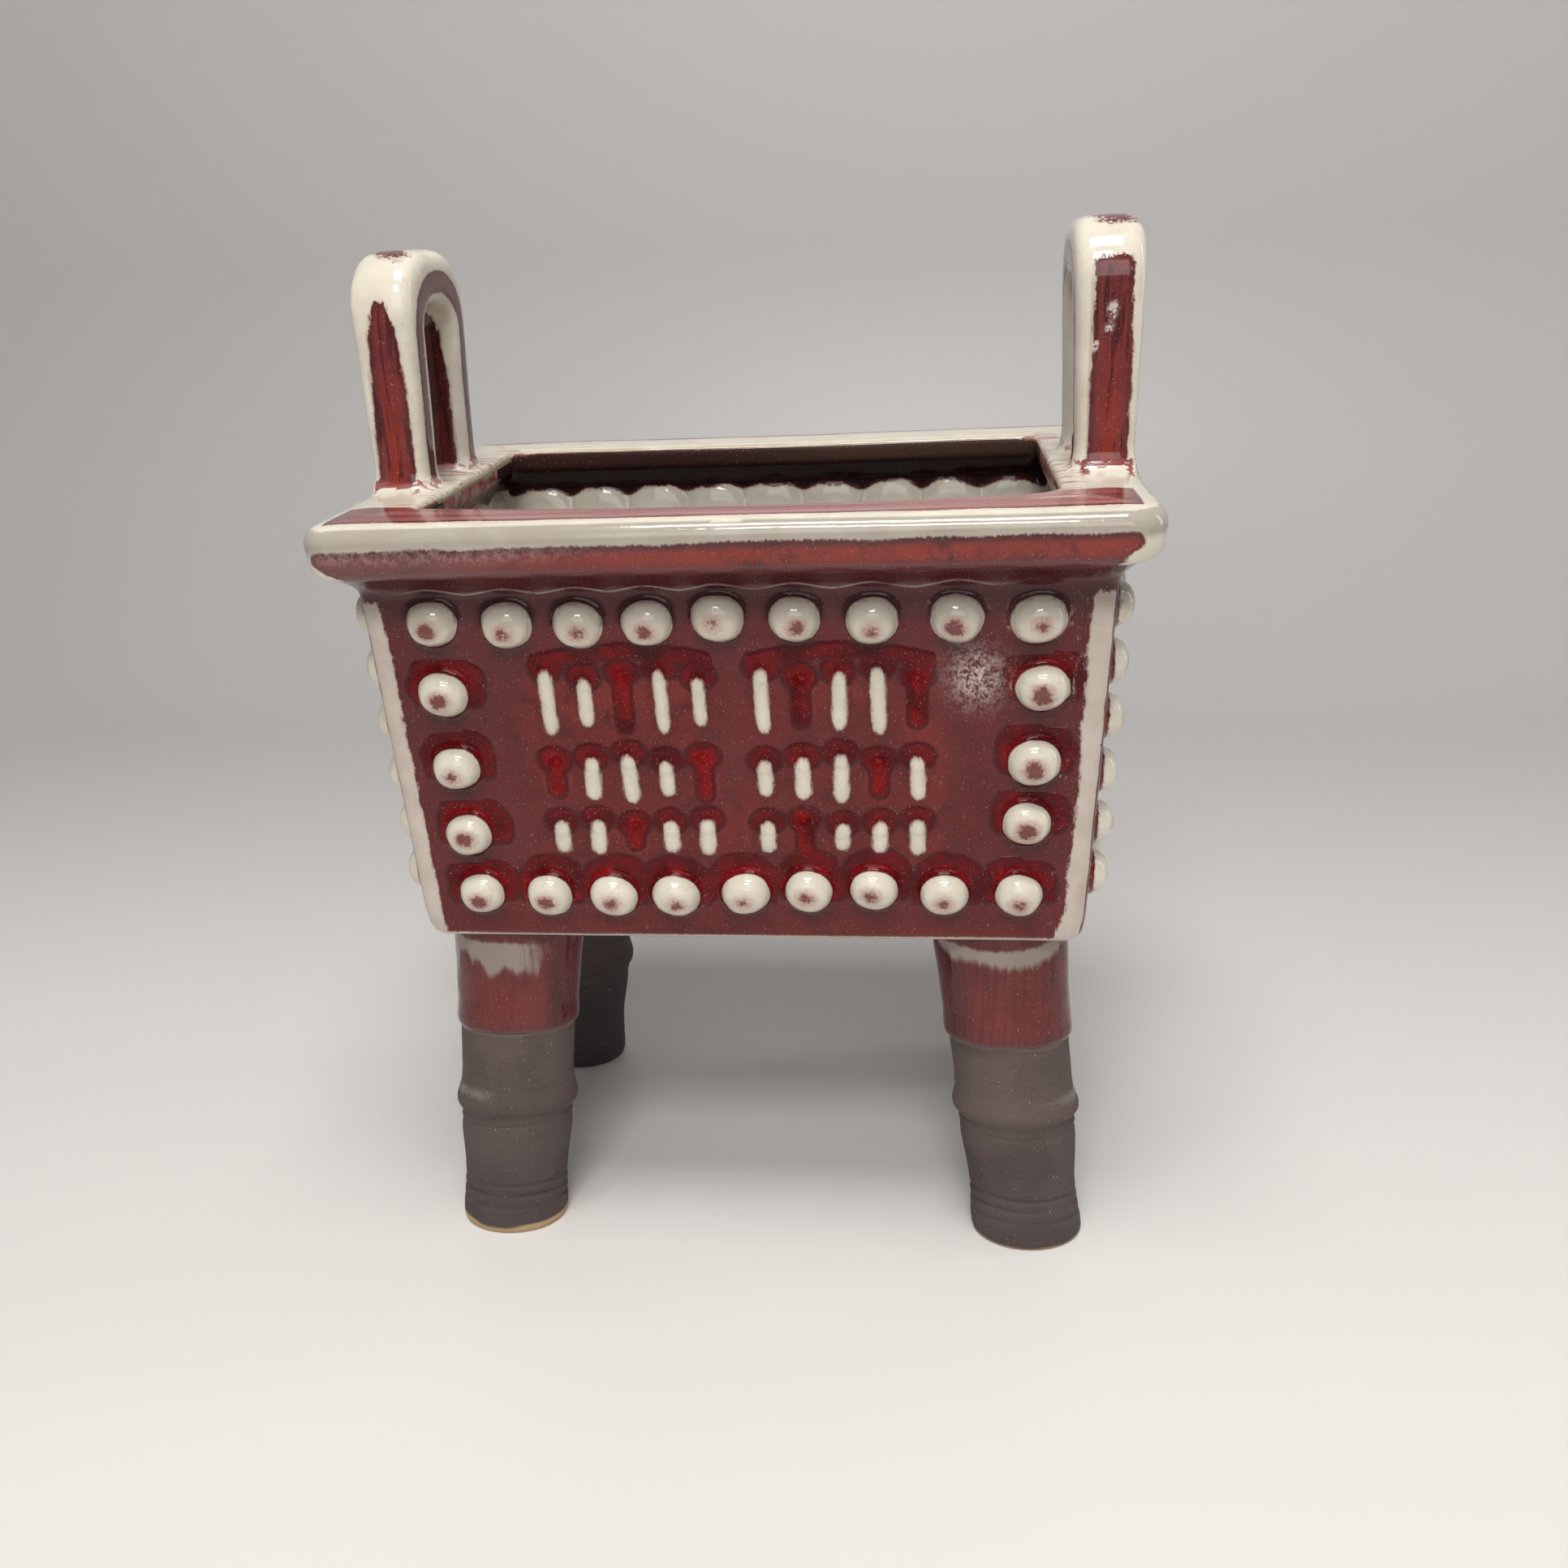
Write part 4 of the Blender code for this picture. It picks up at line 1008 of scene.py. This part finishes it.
def measure_rim(obj):
    points = read_points(obj)
    x, y, z = points.T
    z = z - settling(points)
    edge_x, edge_y = RIM_HALF_LENGTH - np.abs(x), RIM_HALF_DEPTH - np.abs(y)
    on_long = edge_y < edge_x
    edge = np.minimum(edge_x, edge_y)
    wave = soft_noise(points, 9, 61)
    mouth = np.maximum(np.abs(x) - MOUTH_HALF_LENGTH, np.abs(y) - MOUTH_HALF_DEPTH)

    # the red channel of the outer face, and the red underside
    half = np.where(on_long, RIM_HALF_LENGTH - 2.4, RIM_HALF_DEPTH - 4.2)
    half = half - np.where((y < -40) & (x > 0), 2.2, 0.0) * step_up(z, 151, 153)
    along = np.where(on_long, x, y)
    channel = inside_box(along, half, z, 120.0, 156.7 + 0.35 * wave, 2.2)
    slant = 1.8 * np.maximum(0, 154.2 - z) * (z > RIM_BOTTOM)
    channel = np.minimum(channel, (half - np.abs(along) - slant) * 0.8)
    to_edge = np.hypot(np.maximum(np.abs(x) - 66, 0) / 9, np.maximum(np.abs(y) - 42, 0) / 9)
    underside = np.where(edge < 9, 5 - 6 * step_up(to_edge, 0.75, 1.1), 5)
    channel = np.where(z <= RIM_BOTTOM, underside, channel)

    # the wiped top, with more red left along the front
    front_top, back_top = y < FRONT_TOP, on_long & (y > 0)
    most = np.where(front_top, 4.5 - 3.6 * step_up(x, 34, 62) - 2.2 * step_up(-x, 45, 66), -1.2)
    top = np.minimum((edge - np.where(front_top, 4.3, 4.9) + 0.4 * wave) * 1.6, most)
    top = np.where(back_top & (edge < 7.6 + 0.4 * wave), np.minimum(edge - 2.6, 1.5), top)
    on_top = (z > 160.0) & (edge > 1.6)
    red = np.where(on_top, top, channel)
    left_end = front_top * step_up(-x, 36, 62)
    brushed = step_up(np.where(on_top, edge, 0), 4.8, 6.2) * np.where(
        back_top, 0.3, np.where(front_top, 0.72 - 0.3 * left_end, 1))
    pale = ~on_long * step_up(np.abs(x), 62, 66)
    below_bead = step_down(z, 155.0, 156.0)
    # the lower slant and the underside get more mauve film and some darkness, and the top of the channel
    # under the bead is darkened: painted shade
    film = np.where(on_top, 0.15 + 0.7 * left_end * (red > 0.3),
                    0.15 + 0.75 * step_down(z, 151.6, 152.8) + 0.35 * step_up(-x, 5, 60) * (z > 152))
    dark = np.where(on_top, 0, 0.12 * step_down(z, 150.8, 152.4) + 0.6 * step_up(z, 155.0, 156.3))
    warm = 0.7 * step_up(z, 152.0, 153.4) * below_bead * (1 - 0.75 * step_up(-x, 0, 50)) * ~on_top
    veil = np.where(on_top, 0, 0.30 * step_down(z, 151.4, 152.6) +
                    0.5 * step_up(-x, 15, 60) * (z > 151.5) * below_bead)
    tan = step_up(1.0 - np.abs(mouth - 0.35), 0, 0.7) * (z > 159.2) * (0.6 + 0.4 * wave)
    worn = 0.26 * step_up(-x, 8, 50) * step_up(z, 153.2, 155.4) * (z < 157.2) * on_long * (y < 0)

    # the inside, down to the swellings; above their white band painted shade makes it nearly black
    inner = (mouth < 0.25) & (z < 160.2) | (edge > 8) & (z < 158)
    pillow, between = swelling_band(points)
    pillow = np.where(z < 152.5, pillow, 3.0)
    red = np.where(inner, pillow, red)
    fields = {
        "red": red, "film": np.where(inner, 0.25, np.where(red < 0.3, 0.1, film)),
        "dark": np.where(inner, 1.15 * step_up(pillow, 0, 0.8), dark),
        "tan": np.where(inner & (z > 156.3) & (y > 0), 0.03 + 0.09 * step_up(x, -20, 25), tan),
        "warm": np.where(inner, 0, warm), "veil": np.where(inner, 0, veil), "fur": 0.35, "runs": 0}

    loop = (z > HANDLE_FROM) & (np.abs(x) > MOUTH_HALF_LENGTH + 0.4)
    on_handle, near_foot, smeared, added_red = handle_fields(points, z, wave)
    fields = {label: np.where(loop, on_handle[label], fields[label]) for label in fields}
    fields["red"] = np.where(added_red, 0.6, fields["red"])
    brushed = np.where(near_foot, np.where(smeared, 0.45, 0.9), np.where(loop, 0, brushed) * (1 - 0.7 * pale))
    store(obj, brushed=brushed, blush=np.where(inner, 0.4 * step_up(between, 0.82, 1.0), 0),
          dust=np.where(loop & (y < -12), on_handle["chips"], worn), **fields)


measure_rim(rim)

# %% [markdown]
# ### The glaze of the legs
# The glaze ran down over the top of each leg and left a white collar with drips. It ends in a
# rolled edge that climbs a little towards the outer side. On the front legs the bare clay has dust
# and a painted highlight on its ring, and a tan line round the foot; painted shade darkens the back
# legs, and a painted dark reflection runs down the glaze beside each leg's middle. All of it depends
# on the height and on the direction round the leg's leaning middle, so it is measured there, and
# no leg has to be painted by hand.

# %% Measure the legs


def measure_leg(obj, side_x, side_y, glaze_shift, ring_shift, seed):
    points = read_points(obj)
    x, y, z = points.T
    axis_x, axis_y = leg_axis(z)
    turn = np.arctan2((y - side_y * axis_y) / LEG_DEPTH_SHARE, x - side_x * axis_x)
    around = np.stack([LEG_MIDDLE * np.cos(turn), LEG_MIDDLE * np.sin(turn), z * 0], axis=1)
    outer_side = side_y * np.sin(turn)
    at_back, at_right, at_left = side_y > 0, side_y < 0 < side_x, side_y < 0 > side_x
    forward = np.clip(outer_side, 0, 1)

    # a white collar that runs down in drips, longest on the front left leg
    longest = 1.0 if at_right else 2.0 if at_back else 7.5
    drip = np.maximum(0, 0.35 + soft_noise(around, 3.0, seed + 3)) * longest
    upper = (72.9 - 1.5 * forward if at_right else 71.7) + 0.4 * soft_noise(around, 8, seed + 4)
    lower = upper - (1.0 + 1.6 * forward if at_right else 2.8) - drip
    wash = step_up(upper - z, -0.3, 1.2) * step_up(z - lower, -2.4, 1.4)
    if at_left:
        wash = wash * (1 - 0.95 * step_up(np.cos(turn), 0.05, 0.8))

    # the rolled end of the glaze, darkening, a painted dark reflection beside each leg's middle, and dust
    # with a painted highlight on the ring
    clay = z - (47.3 + glaze_shift + LEG_FRONT_RISE * outer_side + 0.35 * soft_noise(around, 5, seed + 5))
    # a painted dark reflection down the glaze beside the leg's middle
    stripe = np.exp(-((np.cos(turn) + side_x * 0.75) / 0.11) ** 2)
    # the glaze is darker over the collar and the clay towards the foot; the back legs get painted shade
    dark = 0.16 + 0.25 * step_up(z, upper - 0.5, upper + 1) + 0.45 * stripe * step_down(z, 66, 71)
    dark = np.where(clay > 0, dark, 0.40 * step_down(z, 12, 40)) + 0.55 * at_back
    ring = z - 32.0 - ring_shift - LEG_FRONT_RISE * outer_side
    # dust on the outer side of the ring, which is also a painted highlight on its crest
    ring_dust_and_highlight = 0.62 * np.exp(-(ring / 1.5) ** 2) * step_up(side_x * np.cos(turn), -0.2, 0.8)
    ring_dust_and_highlight = ring_dust_and_highlight * (0.8 + 0.4 * soft_noise(around, 4, seed + 8)) * (not at_back)
    foot_line = 0.6 if at_right else 2.0 if at_left else -1.0
    tan = step_up(foot_line + 0.5 * soft_noise(around, 5, seed + 6) - z, -0.2, 0.5)
    warm = 0.22 * step_up(outer_side, 0.5, 0.95) * step_up(z, 50, 54) * step_down(z, 58, 66)
    # the mauve film thickens towards the leg's sides along X, its edges as the camera sees them, which is
    # painted shade, and over the rolled edge
    film = 0.42 + 0.4 * step_up(np.abs(np.cos(turn)), 0.35, 0.8) + 0.5 * step_down(clay, 0.5, 5)
    store(obj, film=film, dark=np.clip(dark, 0, 0.9), clay=clay, tan=tan, fur=0.3, warm=warm, veil=0.2,
          runs=0.4, wash=np.where(clay > 0, wash, ring_dust_and_highlight))


for name, facts in LEGS.items():
    measure_leg(legs[name], *facts)

# %% [markdown]
# ## The glaze and the clay
# One material covers every piece, as one glaze covered the real one. It reads the attributes
# and adds what is too fine for the mesh: furry borders, mottling, specks and pits, brush
# streaks, hairline cracks in the white, and the grain of the bare clay. Patterns use Object
# coordinates in millimetres, so their scale is true.

# %% Helpers for the material
glaze = bpy.data.materials.new("oxblood_glaze")
glaze.use_nodes = True
paint = glaze.node_tree
shader = paint.nodes["Principled BSDF"]
place = node(paint, "ShaderNodeTexCoord")
in_mm = node(paint, "ShaderNodeVectorMath", {"operation": "SCALE"}, Vector=place.outputs["Object"],
             Scale=1000.0).outputs[0]


def amount(kind, output, settings=None, **inputs):
    """The number that a new node gives."""
    return Amount(paint, node(paint, kind, settings, **inputs).outputs[output])


def field(label):
    return amount("ShaderNodeAttribute", "Fac", {"attribute_name": label})


def clamp(value):
    return amount("ShaderNodeClamp", 0, Value=value)


def ramp(value, low, high, to_low=0.0, to_high=1.0):
    """A smooth step from to_low to to_high as value goes from low to high."""
    return amount("ShaderNodeMapRange", "Result", {"interpolation_type": "SMOOTHSTEP"}, Value=value,
                  From_Min=low, From_Max=high, To_Min=to_low, To_Max=to_high)


def grain(hill, detail=2.0, stretch=(1, 1, 1), roughness=0.5, shift=(0, 0, 0)):
    """Noise about 0.5, with hills of that many millimetres, drawn out along an axis by stretch."""
    spread = node(paint, "ShaderNodeMapping", Vector=in_mm, Location=shift,
                  Scale=tuple(1 / (hill * s) for s in stretch))
    return amount("ShaderNodeTexNoise", "Fac", Vector=spread.outputs[0], Scale=1.0, Detail=detail,
                  Roughness=roughness)


def blend(share, under, over):
    """Colour over colour; each is a socket, or red, green and blue from 0 to 1."""
    under, over = ((*colour, 1) if isinstance(colour, tuple) else colour for colour in (under, over))
    return node(paint, "ShaderNodeMix", {"data_type": "RGBA", "clamp_factor": True}, i0=share, i6=under,
                i7=over).outputs[2]


def coats(colour, *laid):
    """Colours laid one after the other, each with the share that it covers."""
    for share, coat in laid:
        colour = blend(share, colour, coat)
    return colour


# %% Grains, fields and where red meets white
broad, middle, small, fine = grain(26, 3), grain(6, 3), grain(1.7, 3), grain(0.55, 2)
furry, grainy = grain(0.7, 3, stretch=(1, 1, 3.2)), grain(0.32, 1)
streaks = grain(1.1, 3, stretch=(22, 1, 1), roughness=0.6)
wide_streaks = grain(3.2, 2, stretch=(14, 1, 1))
down_runs = grain(1.1, 3, stretch=(1, 1, 15), roughness=0.6)
red_field, film_field, dark_field, pool_field = (field(label) for label in ("red", "film", "dark", "pool"))
brushed_field, runs_field, tan_field = (field(label) for label in ("brushed", "runs", "tan"))
wash_field, clay_field = field("wash"), field("clay")
fur = ((furry - 0.5) * 3.0 + (fine - 0.5) * 1.4) * field("fur")
depth = red_field + fur + brushed_field * (streaks * -16.0 + 8.3)
redness = ramp(depth, -0.25, 0.3)
border_line = ramp(depth, -0.1, 0.25) * ramp(depth, 0.3, 1.3, 1.0, 0.0)

# %% Colours of the glaze
mauve = blend(ramp(broad, 0.35, 0.65), (0.100, 0.013, 0.017), (0.155, 0.023, 0.027))
film = clamp((middle - 0.5) * 0.9 + clamp((broad - 0.5) * 1.1 + film_field))
warm = field("warm") * ramp(small * 0.5 + middle * 0.5, 0.33, 0.53) * 0.85
pooled = ramp((small - 0.5) * 1.2 + pool_field, -0.5, 0.7)
pool_line = ramp(pool_field, -0.5, 0.0) * ramp(pool_field, 0.15, 0.8, 0.85, 0.0)
pool_red = coats(
    blend(ramp(middle, 0.34, 0.60), (0.075, 0.001, 0.003), (0.22, 0.005, 0.006)),
    (ramp(small, 0.35, 0.65, 0.45, 0.0), (0.080, 0.002, 0.004)),
    (ramp(grainy, 0.60, 0.75, 0.0, 0.5), (0.40, 0.055, 0.035)))
wiped_pink = blend(ramp(streaks, 0.35, 0.6), (0.44, 0.16, 0.15), (0.30, 0.050, 0.048))
wiped_pink = blend(ramp(wide_streaks, 0.4, 0.65), wiped_pink, (0.52, 0.27, 0.26))
ox_red = coats(
    blend(ramp(middle, 0.3, 0.7), (0.090, 0.007, 0.007), (0.22, 0.015, 0.010)),
    (ramp(small, 0.35, 0.75, 0.0, 0.35), (0.28, 0.026, 0.012)),
    # where the film field rises under the rim, under the studs, on downward faces, on the rim's underside and
    # on the legs' sides, the mauve is painted shade
    (film, mauve),
    (ramp(grainy, 0.5, 0.8, 0.0, 0.45), (0.25, 0.042, 0.038)),
    (ramp(grainy, 0.2, 0.5, 0.40, 0.0), (0.045, 0.008, 0.010)),
    (field("veil") * ramp(middle, 0.3, 0.6, 0.75, 1.0), (0.155, 0.086, 0.082)),
    (warm, blend(grainy, (0.19, 0.013, 0.008), (0.36, 0.040, 0.016))),
    (pooled, pool_red),
    (pool_line * ramp(middle, 0.3, 0.6, 0.35, 0.9), (0.034, 0.005, 0.009)),
    (runs_field * ramp(down_runs, 0.50, 0.36, 0.0, 0.75), (0.040, 0.008, 0.011)),
    (runs_field * ramp(down_runs, 0.58, 0.72, 0.0, 0.6), (0.27, 0.050, 0.040)),
    (border_line * 0.5, (0.07, 0.010, 0.012)),
    # painted shade from the dark field
    (dark_field * 0.85, (0.030, 0.013, 0.014)),
    (brushed_field, wiped_pink))

blush = field("blush") * (fine * 0.9 + small * 0.9)
cracks = amount("ShaderNodeTexVoronoi", 0, {"feature": "DISTANCE_TO_EDGE"}, Vector=in_mm, Scale=0.11)
cream = coats(
    blend(ramp(middle, 0.3, 0.7), (0.665, 0.61, 0.50), (0.74, 0.685, 0.57)),
    (ramp(film_field, 0.3, 0.55), blend(ramp(middle, 0.3, 0.7), (0.54, 0.46, 0.39), (0.61, 0.525, 0.45))),
    (ramp(small, 0.55, 0.8, 0.0, 0.25), (0.50, 0.43, 0.37)),
    # painted shade from the dark field
    (dark_field * 0.8, (0.085, 0.050, 0.046)),
    (ramp(depth, -0.7, -0.1, 0.0, 0.30), (0.50, 0.40, 0.35)),
    (ramp(blush, 0.08, 0.6, 0.0, 0.6), (0.42, 0.22, 0.20)),
    (ramp(blush, 0.5, 0.95, 0.0, 0.93), (0.145, 0.016, 0.018)),
    (ramp(cracks, 0.0, 0.008, 0.28, 0.0), (0.32, 0.27, 0.23)),
    (ramp(grain(0.7, 1), 0.77, 0.82) * 0.5, (0.20, 0.12, 0.10)))

seam = field("seam")
seam_line = ramp(abs(seam), 0.10, 0.32, 0.75, 0.0) * ramp(broad, 0.38, 0.55)
seam_line = seam_line * ramp(small, 0.25, 0.5, 0.4, 1.0)
pits = ramp(grain(0.30, 0, shift=(40, 0, 0)), 0.775, 0.81)
coloured = coats(
    blend(redness, cream, ox_red),
    (seam_line, (0.34, 0.29, 0.25)),
    (ramp(abs(seam - 0.7), 0.15, 0.4, 0.7, 0.0), (0.085, 0.020, 0.018)),
    (tan_field * 0.8, (0.33, 0.25, 0.13)),
    (field("dust") * ramp(fine * 0.6 + small * 0.5, 0.42, 0.72), (0.60, 0.50, 0.46)),
    (pits * redness * 0.45, (0.50, 0.33, 0.29)),
    (ramp(clay_field, 0.2, 1.5, 0.75, 0.0), (0.12, 0.065, 0.065)))

# %% The bare clay, and the white that ran over both, which also paints a highlight on the legs' rings
clay_grain, clay_turned = grain(0.5, 3, roughness=0.7), grain(0.9, 2, stretch=(14, 14, 1))
clay_line = ramp(clay_field, -0.9, -0.1) * ramp(clay_field, -0.1, 0.1, 1.0, 0.0)
clay_colour = coats(
    blend(ramp(grain(14, 2), 0.35, 0.65), (0.088, 0.062, 0.057), (0.122, 0.088, 0.081)),
    (ramp(clay_grain, 0.35, 0.8, 0.0, 0.5), (0.16, 0.13, 0.118)),
    # painted shade from the dark field
    (dark_field * 0.9, (0.045, 0.037, 0.040)),
    (ramp(grain(0.45, 0, shift=(0, 70, 0)), 0.82, 0.85) * 0.7, (0.45, 0.38, 0.32)),
    (tan_field, (0.50, 0.34, 0.19)),
    (clay_line * 0.5, (0.19, 0.17, 0.15)))
glazed = ramp(clay_field, -0.12, 0.08)
bare = 1.0 - glazed
brush = (clay_grain - 0.5) * 0.5 + (down_runs - 0.5) * glazed
# the white collar of the legs, and the painted highlight on their rings
wash = ramp(brush + wash_field, 0.1, 0.9) * ramp(wash_field, 0.0, 0.15, 0.0, 0.76)
finished = blend(wash, blend(glazed, clay_colour, coloured), (0.36, 0.315, 0.265))

# %% Gloss and relief
gloss = small * 0.07 + 0.055 + brushed_field * 0.16 + pits * 0.2
height_mm = amount("ShaderNodeSeparateXYZ", "Z", Vector=in_mm)
shine = redness * ramp(height_mm, 145, 153, 1.0, 0.0) * -0.20 + 0.5
# reflections are cut where the painted shade is deepest, inside under the lip
shine = shine * ramp(dark_field, 0.95, 1.1, 1.0, 0.15) * ramp(pooled * redness, 0.0, 1.0, 1.0, 0.45)
glaze_relief = middle * 0.10 + redness * 0.05 + pooled * 0.15 - pits * 0.02 + brushed_field * streaks * 0.12
relief = glaze_relief * glazed + (clay_grain * 0.10 + clay_turned * 0.16) * bare
bump = node(paint, "ShaderNodeBump", Strength=1.0, Distance=0.001, Height=relief)
shader.inputs["IOR"].default_value = 1.5
for label, socket in (("Base Color", finished), ("Roughness", (gloss * glazed + bare * 0.78).socket),
                      ("Specular IOR Level", shine.socket), ("Normal", bump.outputs[0])):
    paint.links.new(socket, shader.inputs[label])
print("glaze material:", len(paint.nodes), "nodes")

# %% Give the pieces their material and their place in the frame
pieces = [vessel, rim, *legs.values()]
for obj in pieces:
    obj.data.materials.clear()
    obj.data.materials.append(glaze)
    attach(obj, "root")
    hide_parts("incense_burner")
print("pieces:", [obj.name for obj in pieces])

# %% [markdown]
# ## Floor, lights and camera
# The burner stands on a pale sheet that curves up behind it, as in a small photo studio. Soft
# lights hang over it, high in front of it and further off as a fill, and a weak one stands at
# the right; the world adds the light of pale walls. The camera stands where the
# photographer's did, close and looking down a little.

# %% The sheet
SHEET_REACH, SHEET_BEND, SHEET_RADIUS, SHEET_HEIGHT = 1.6, 0.30, 0.20, 1.4
profile = [(-SHEET_REACH, 0.0), (SHEET_BEND, 0.0)]
for step in range(1, 25):
    angle = math.pi / 2 * step / 24
    profile.append((SHEET_BEND + SHEET_RADIUS * math.sin(angle), SHEET_RADIUS * (1 - math.cos(angle))))
profile.append((SHEET_BEND + SHEET_RADIUS, SHEET_HEIGHT))
sheet_mesh = bpy.data.meshes.new("sheet")
sheet_mesh.from_pydata([(side * SHEET_REACH, y, z) for side in (-1, 1) for y, z in profile], [],
                       [(i, len(profile) + i, len(profile) + i + 1, i + 1) for i in range(len(profile) - 1)])
for polygon in sheet_mesh.polygons:
    polygon.use_smooth = True
sheet = placed("sheet", sheet_mesh)
pale = bpy.data.materials.new("pale_sheet")
pale.use_nodes = True
paper = pale.node_tree
paper_shader = paper.nodes["Principled BSDF"]
spot = node(paper, "ShaderNodeTexCoord")
wide = node(paper, "ShaderNodeTexNoise", Vector=spot.outputs["Object"], Scale=4.0, Detail=5.0)
depth_y = node(paper, "ShaderNodeSeparateXYZ", Vector=spot.outputs["Object"]).outputs["Y"]
# the sheet is painted darker towards the back: painted shade for the part of it that gets less light
far = node(paper, "ShaderNodeMapRange", {"interpolation_type": "SMOOTHSTEP"}, Value=depth_y, From_Min=-0.15,
           From_Max=0.32).outputs["Result"]
tint = node(paper, "ShaderNodeMix", {"data_type": "RGBA"}, i0=wide.outputs["Fac"])
tint.inputs[6].default_value, tint.inputs[7].default_value = (0.76, 0.735, 0.705, 1), (0.82, 0.80, 0.765, 1)
tint_with_back_shade = node(paper, "ShaderNodeMix", {"data_type": "RGBA"}, i0=far, i6=tint.outputs[2],
                i7=(0.52, 0.50, 0.49, 1))
paper.links.new(tint_with_back_shade.outputs[2], paper_shader.inputs["Base Color"])
paper_shader.inputs["Roughness"].default_value = 0.45
sheet_mesh.materials.append(pale)

# %% The lights


def soft_light(name, place, target, width, height, power, colour=(1, 1, 1)):
    data = bpy.data.lights.new(name, "AREA")
    data.shape, data.size, data.size_y, data.energy, data.color = "RECTANGLE", width, height, power, colour
    obj = placed(name, data)
    obj.location = place
    obj.rotation_euler = (Vector(target) - Vector(place)).to_track_quat("-Z", "Y").to_euler()


soft_light("overhead", (0.0, -0.25, 1.05), (0, -0.12, 0), 0.45, 0.30, 6.4, (1.0, 0.985, 0.965))
soft_light("high_front", (0.0, -0.62, 0.86), (0, 0, 0.1), 0.30, 0.18, 2.7, (1.0, 0.99, 0.97))
soft_light("front_fill", (0.1, -1.2, 0.70), (0, 0, 0.12), 0.9, 0.6, 3.8, (1.0, 0.98, 0.96))
soft_light("right_side", (1.1, 0.20, 0.45), (0, 0, 0.12), 0.2, 0.8, 1.6)
world = bpy.data.worlds.new("studio")
world.use_nodes = True
world.node_tree.nodes["Background"].inputs["Color"].default_value = (0.95, 0.97, 1.0, 1)
world.node_tree.nodes["Background"].inputs["Strength"].default_value = 0.215
bpy.context.scene.world = world
bpy.context.scene.view_settings.view_transform = "Standard"

# %% The camera
camera_data = bpy.data.cameras.new("camera")
camera_data.sensor_fit = "HORIZONTAL"
camera_data.sensor_width = 36.0
camera_data.lens = 32.587
camera_data.clip_start = 0.01
camera = placed("camera", camera_data)
CAMERA_YAW, CAMERA_PITCH, CAMERA_ROLL = -0.1077, 0.3681, -0.0384       # radians
CAMERA_PLACE = (0.035782, -0.293969, 0.205068)
look = Vector((math.sin(CAMERA_YAW) * math.cos(CAMERA_PITCH), math.cos(CAMERA_YAW) * math.cos(CAMERA_PITCH),
               -math.sin(CAMERA_PITCH)))
level = Vector((math.cos(CAMERA_YAW), -math.sin(CAMERA_YAW), 0))
above = level.cross(look)
right = level * math.cos(CAMERA_ROLL) + above * math.sin(CAMERA_ROLL)
above = above * math.cos(CAMERA_ROLL) - level * math.sin(CAMERA_ROLL)
camera.matrix_world = Matrix.Translation(CAMERA_PLACE) @ Matrix((right, above, -look)).transposed().to_4x4()
bpy.context.scene.camera = camera
print("camera looks along", [round(v, 3) for v in look])
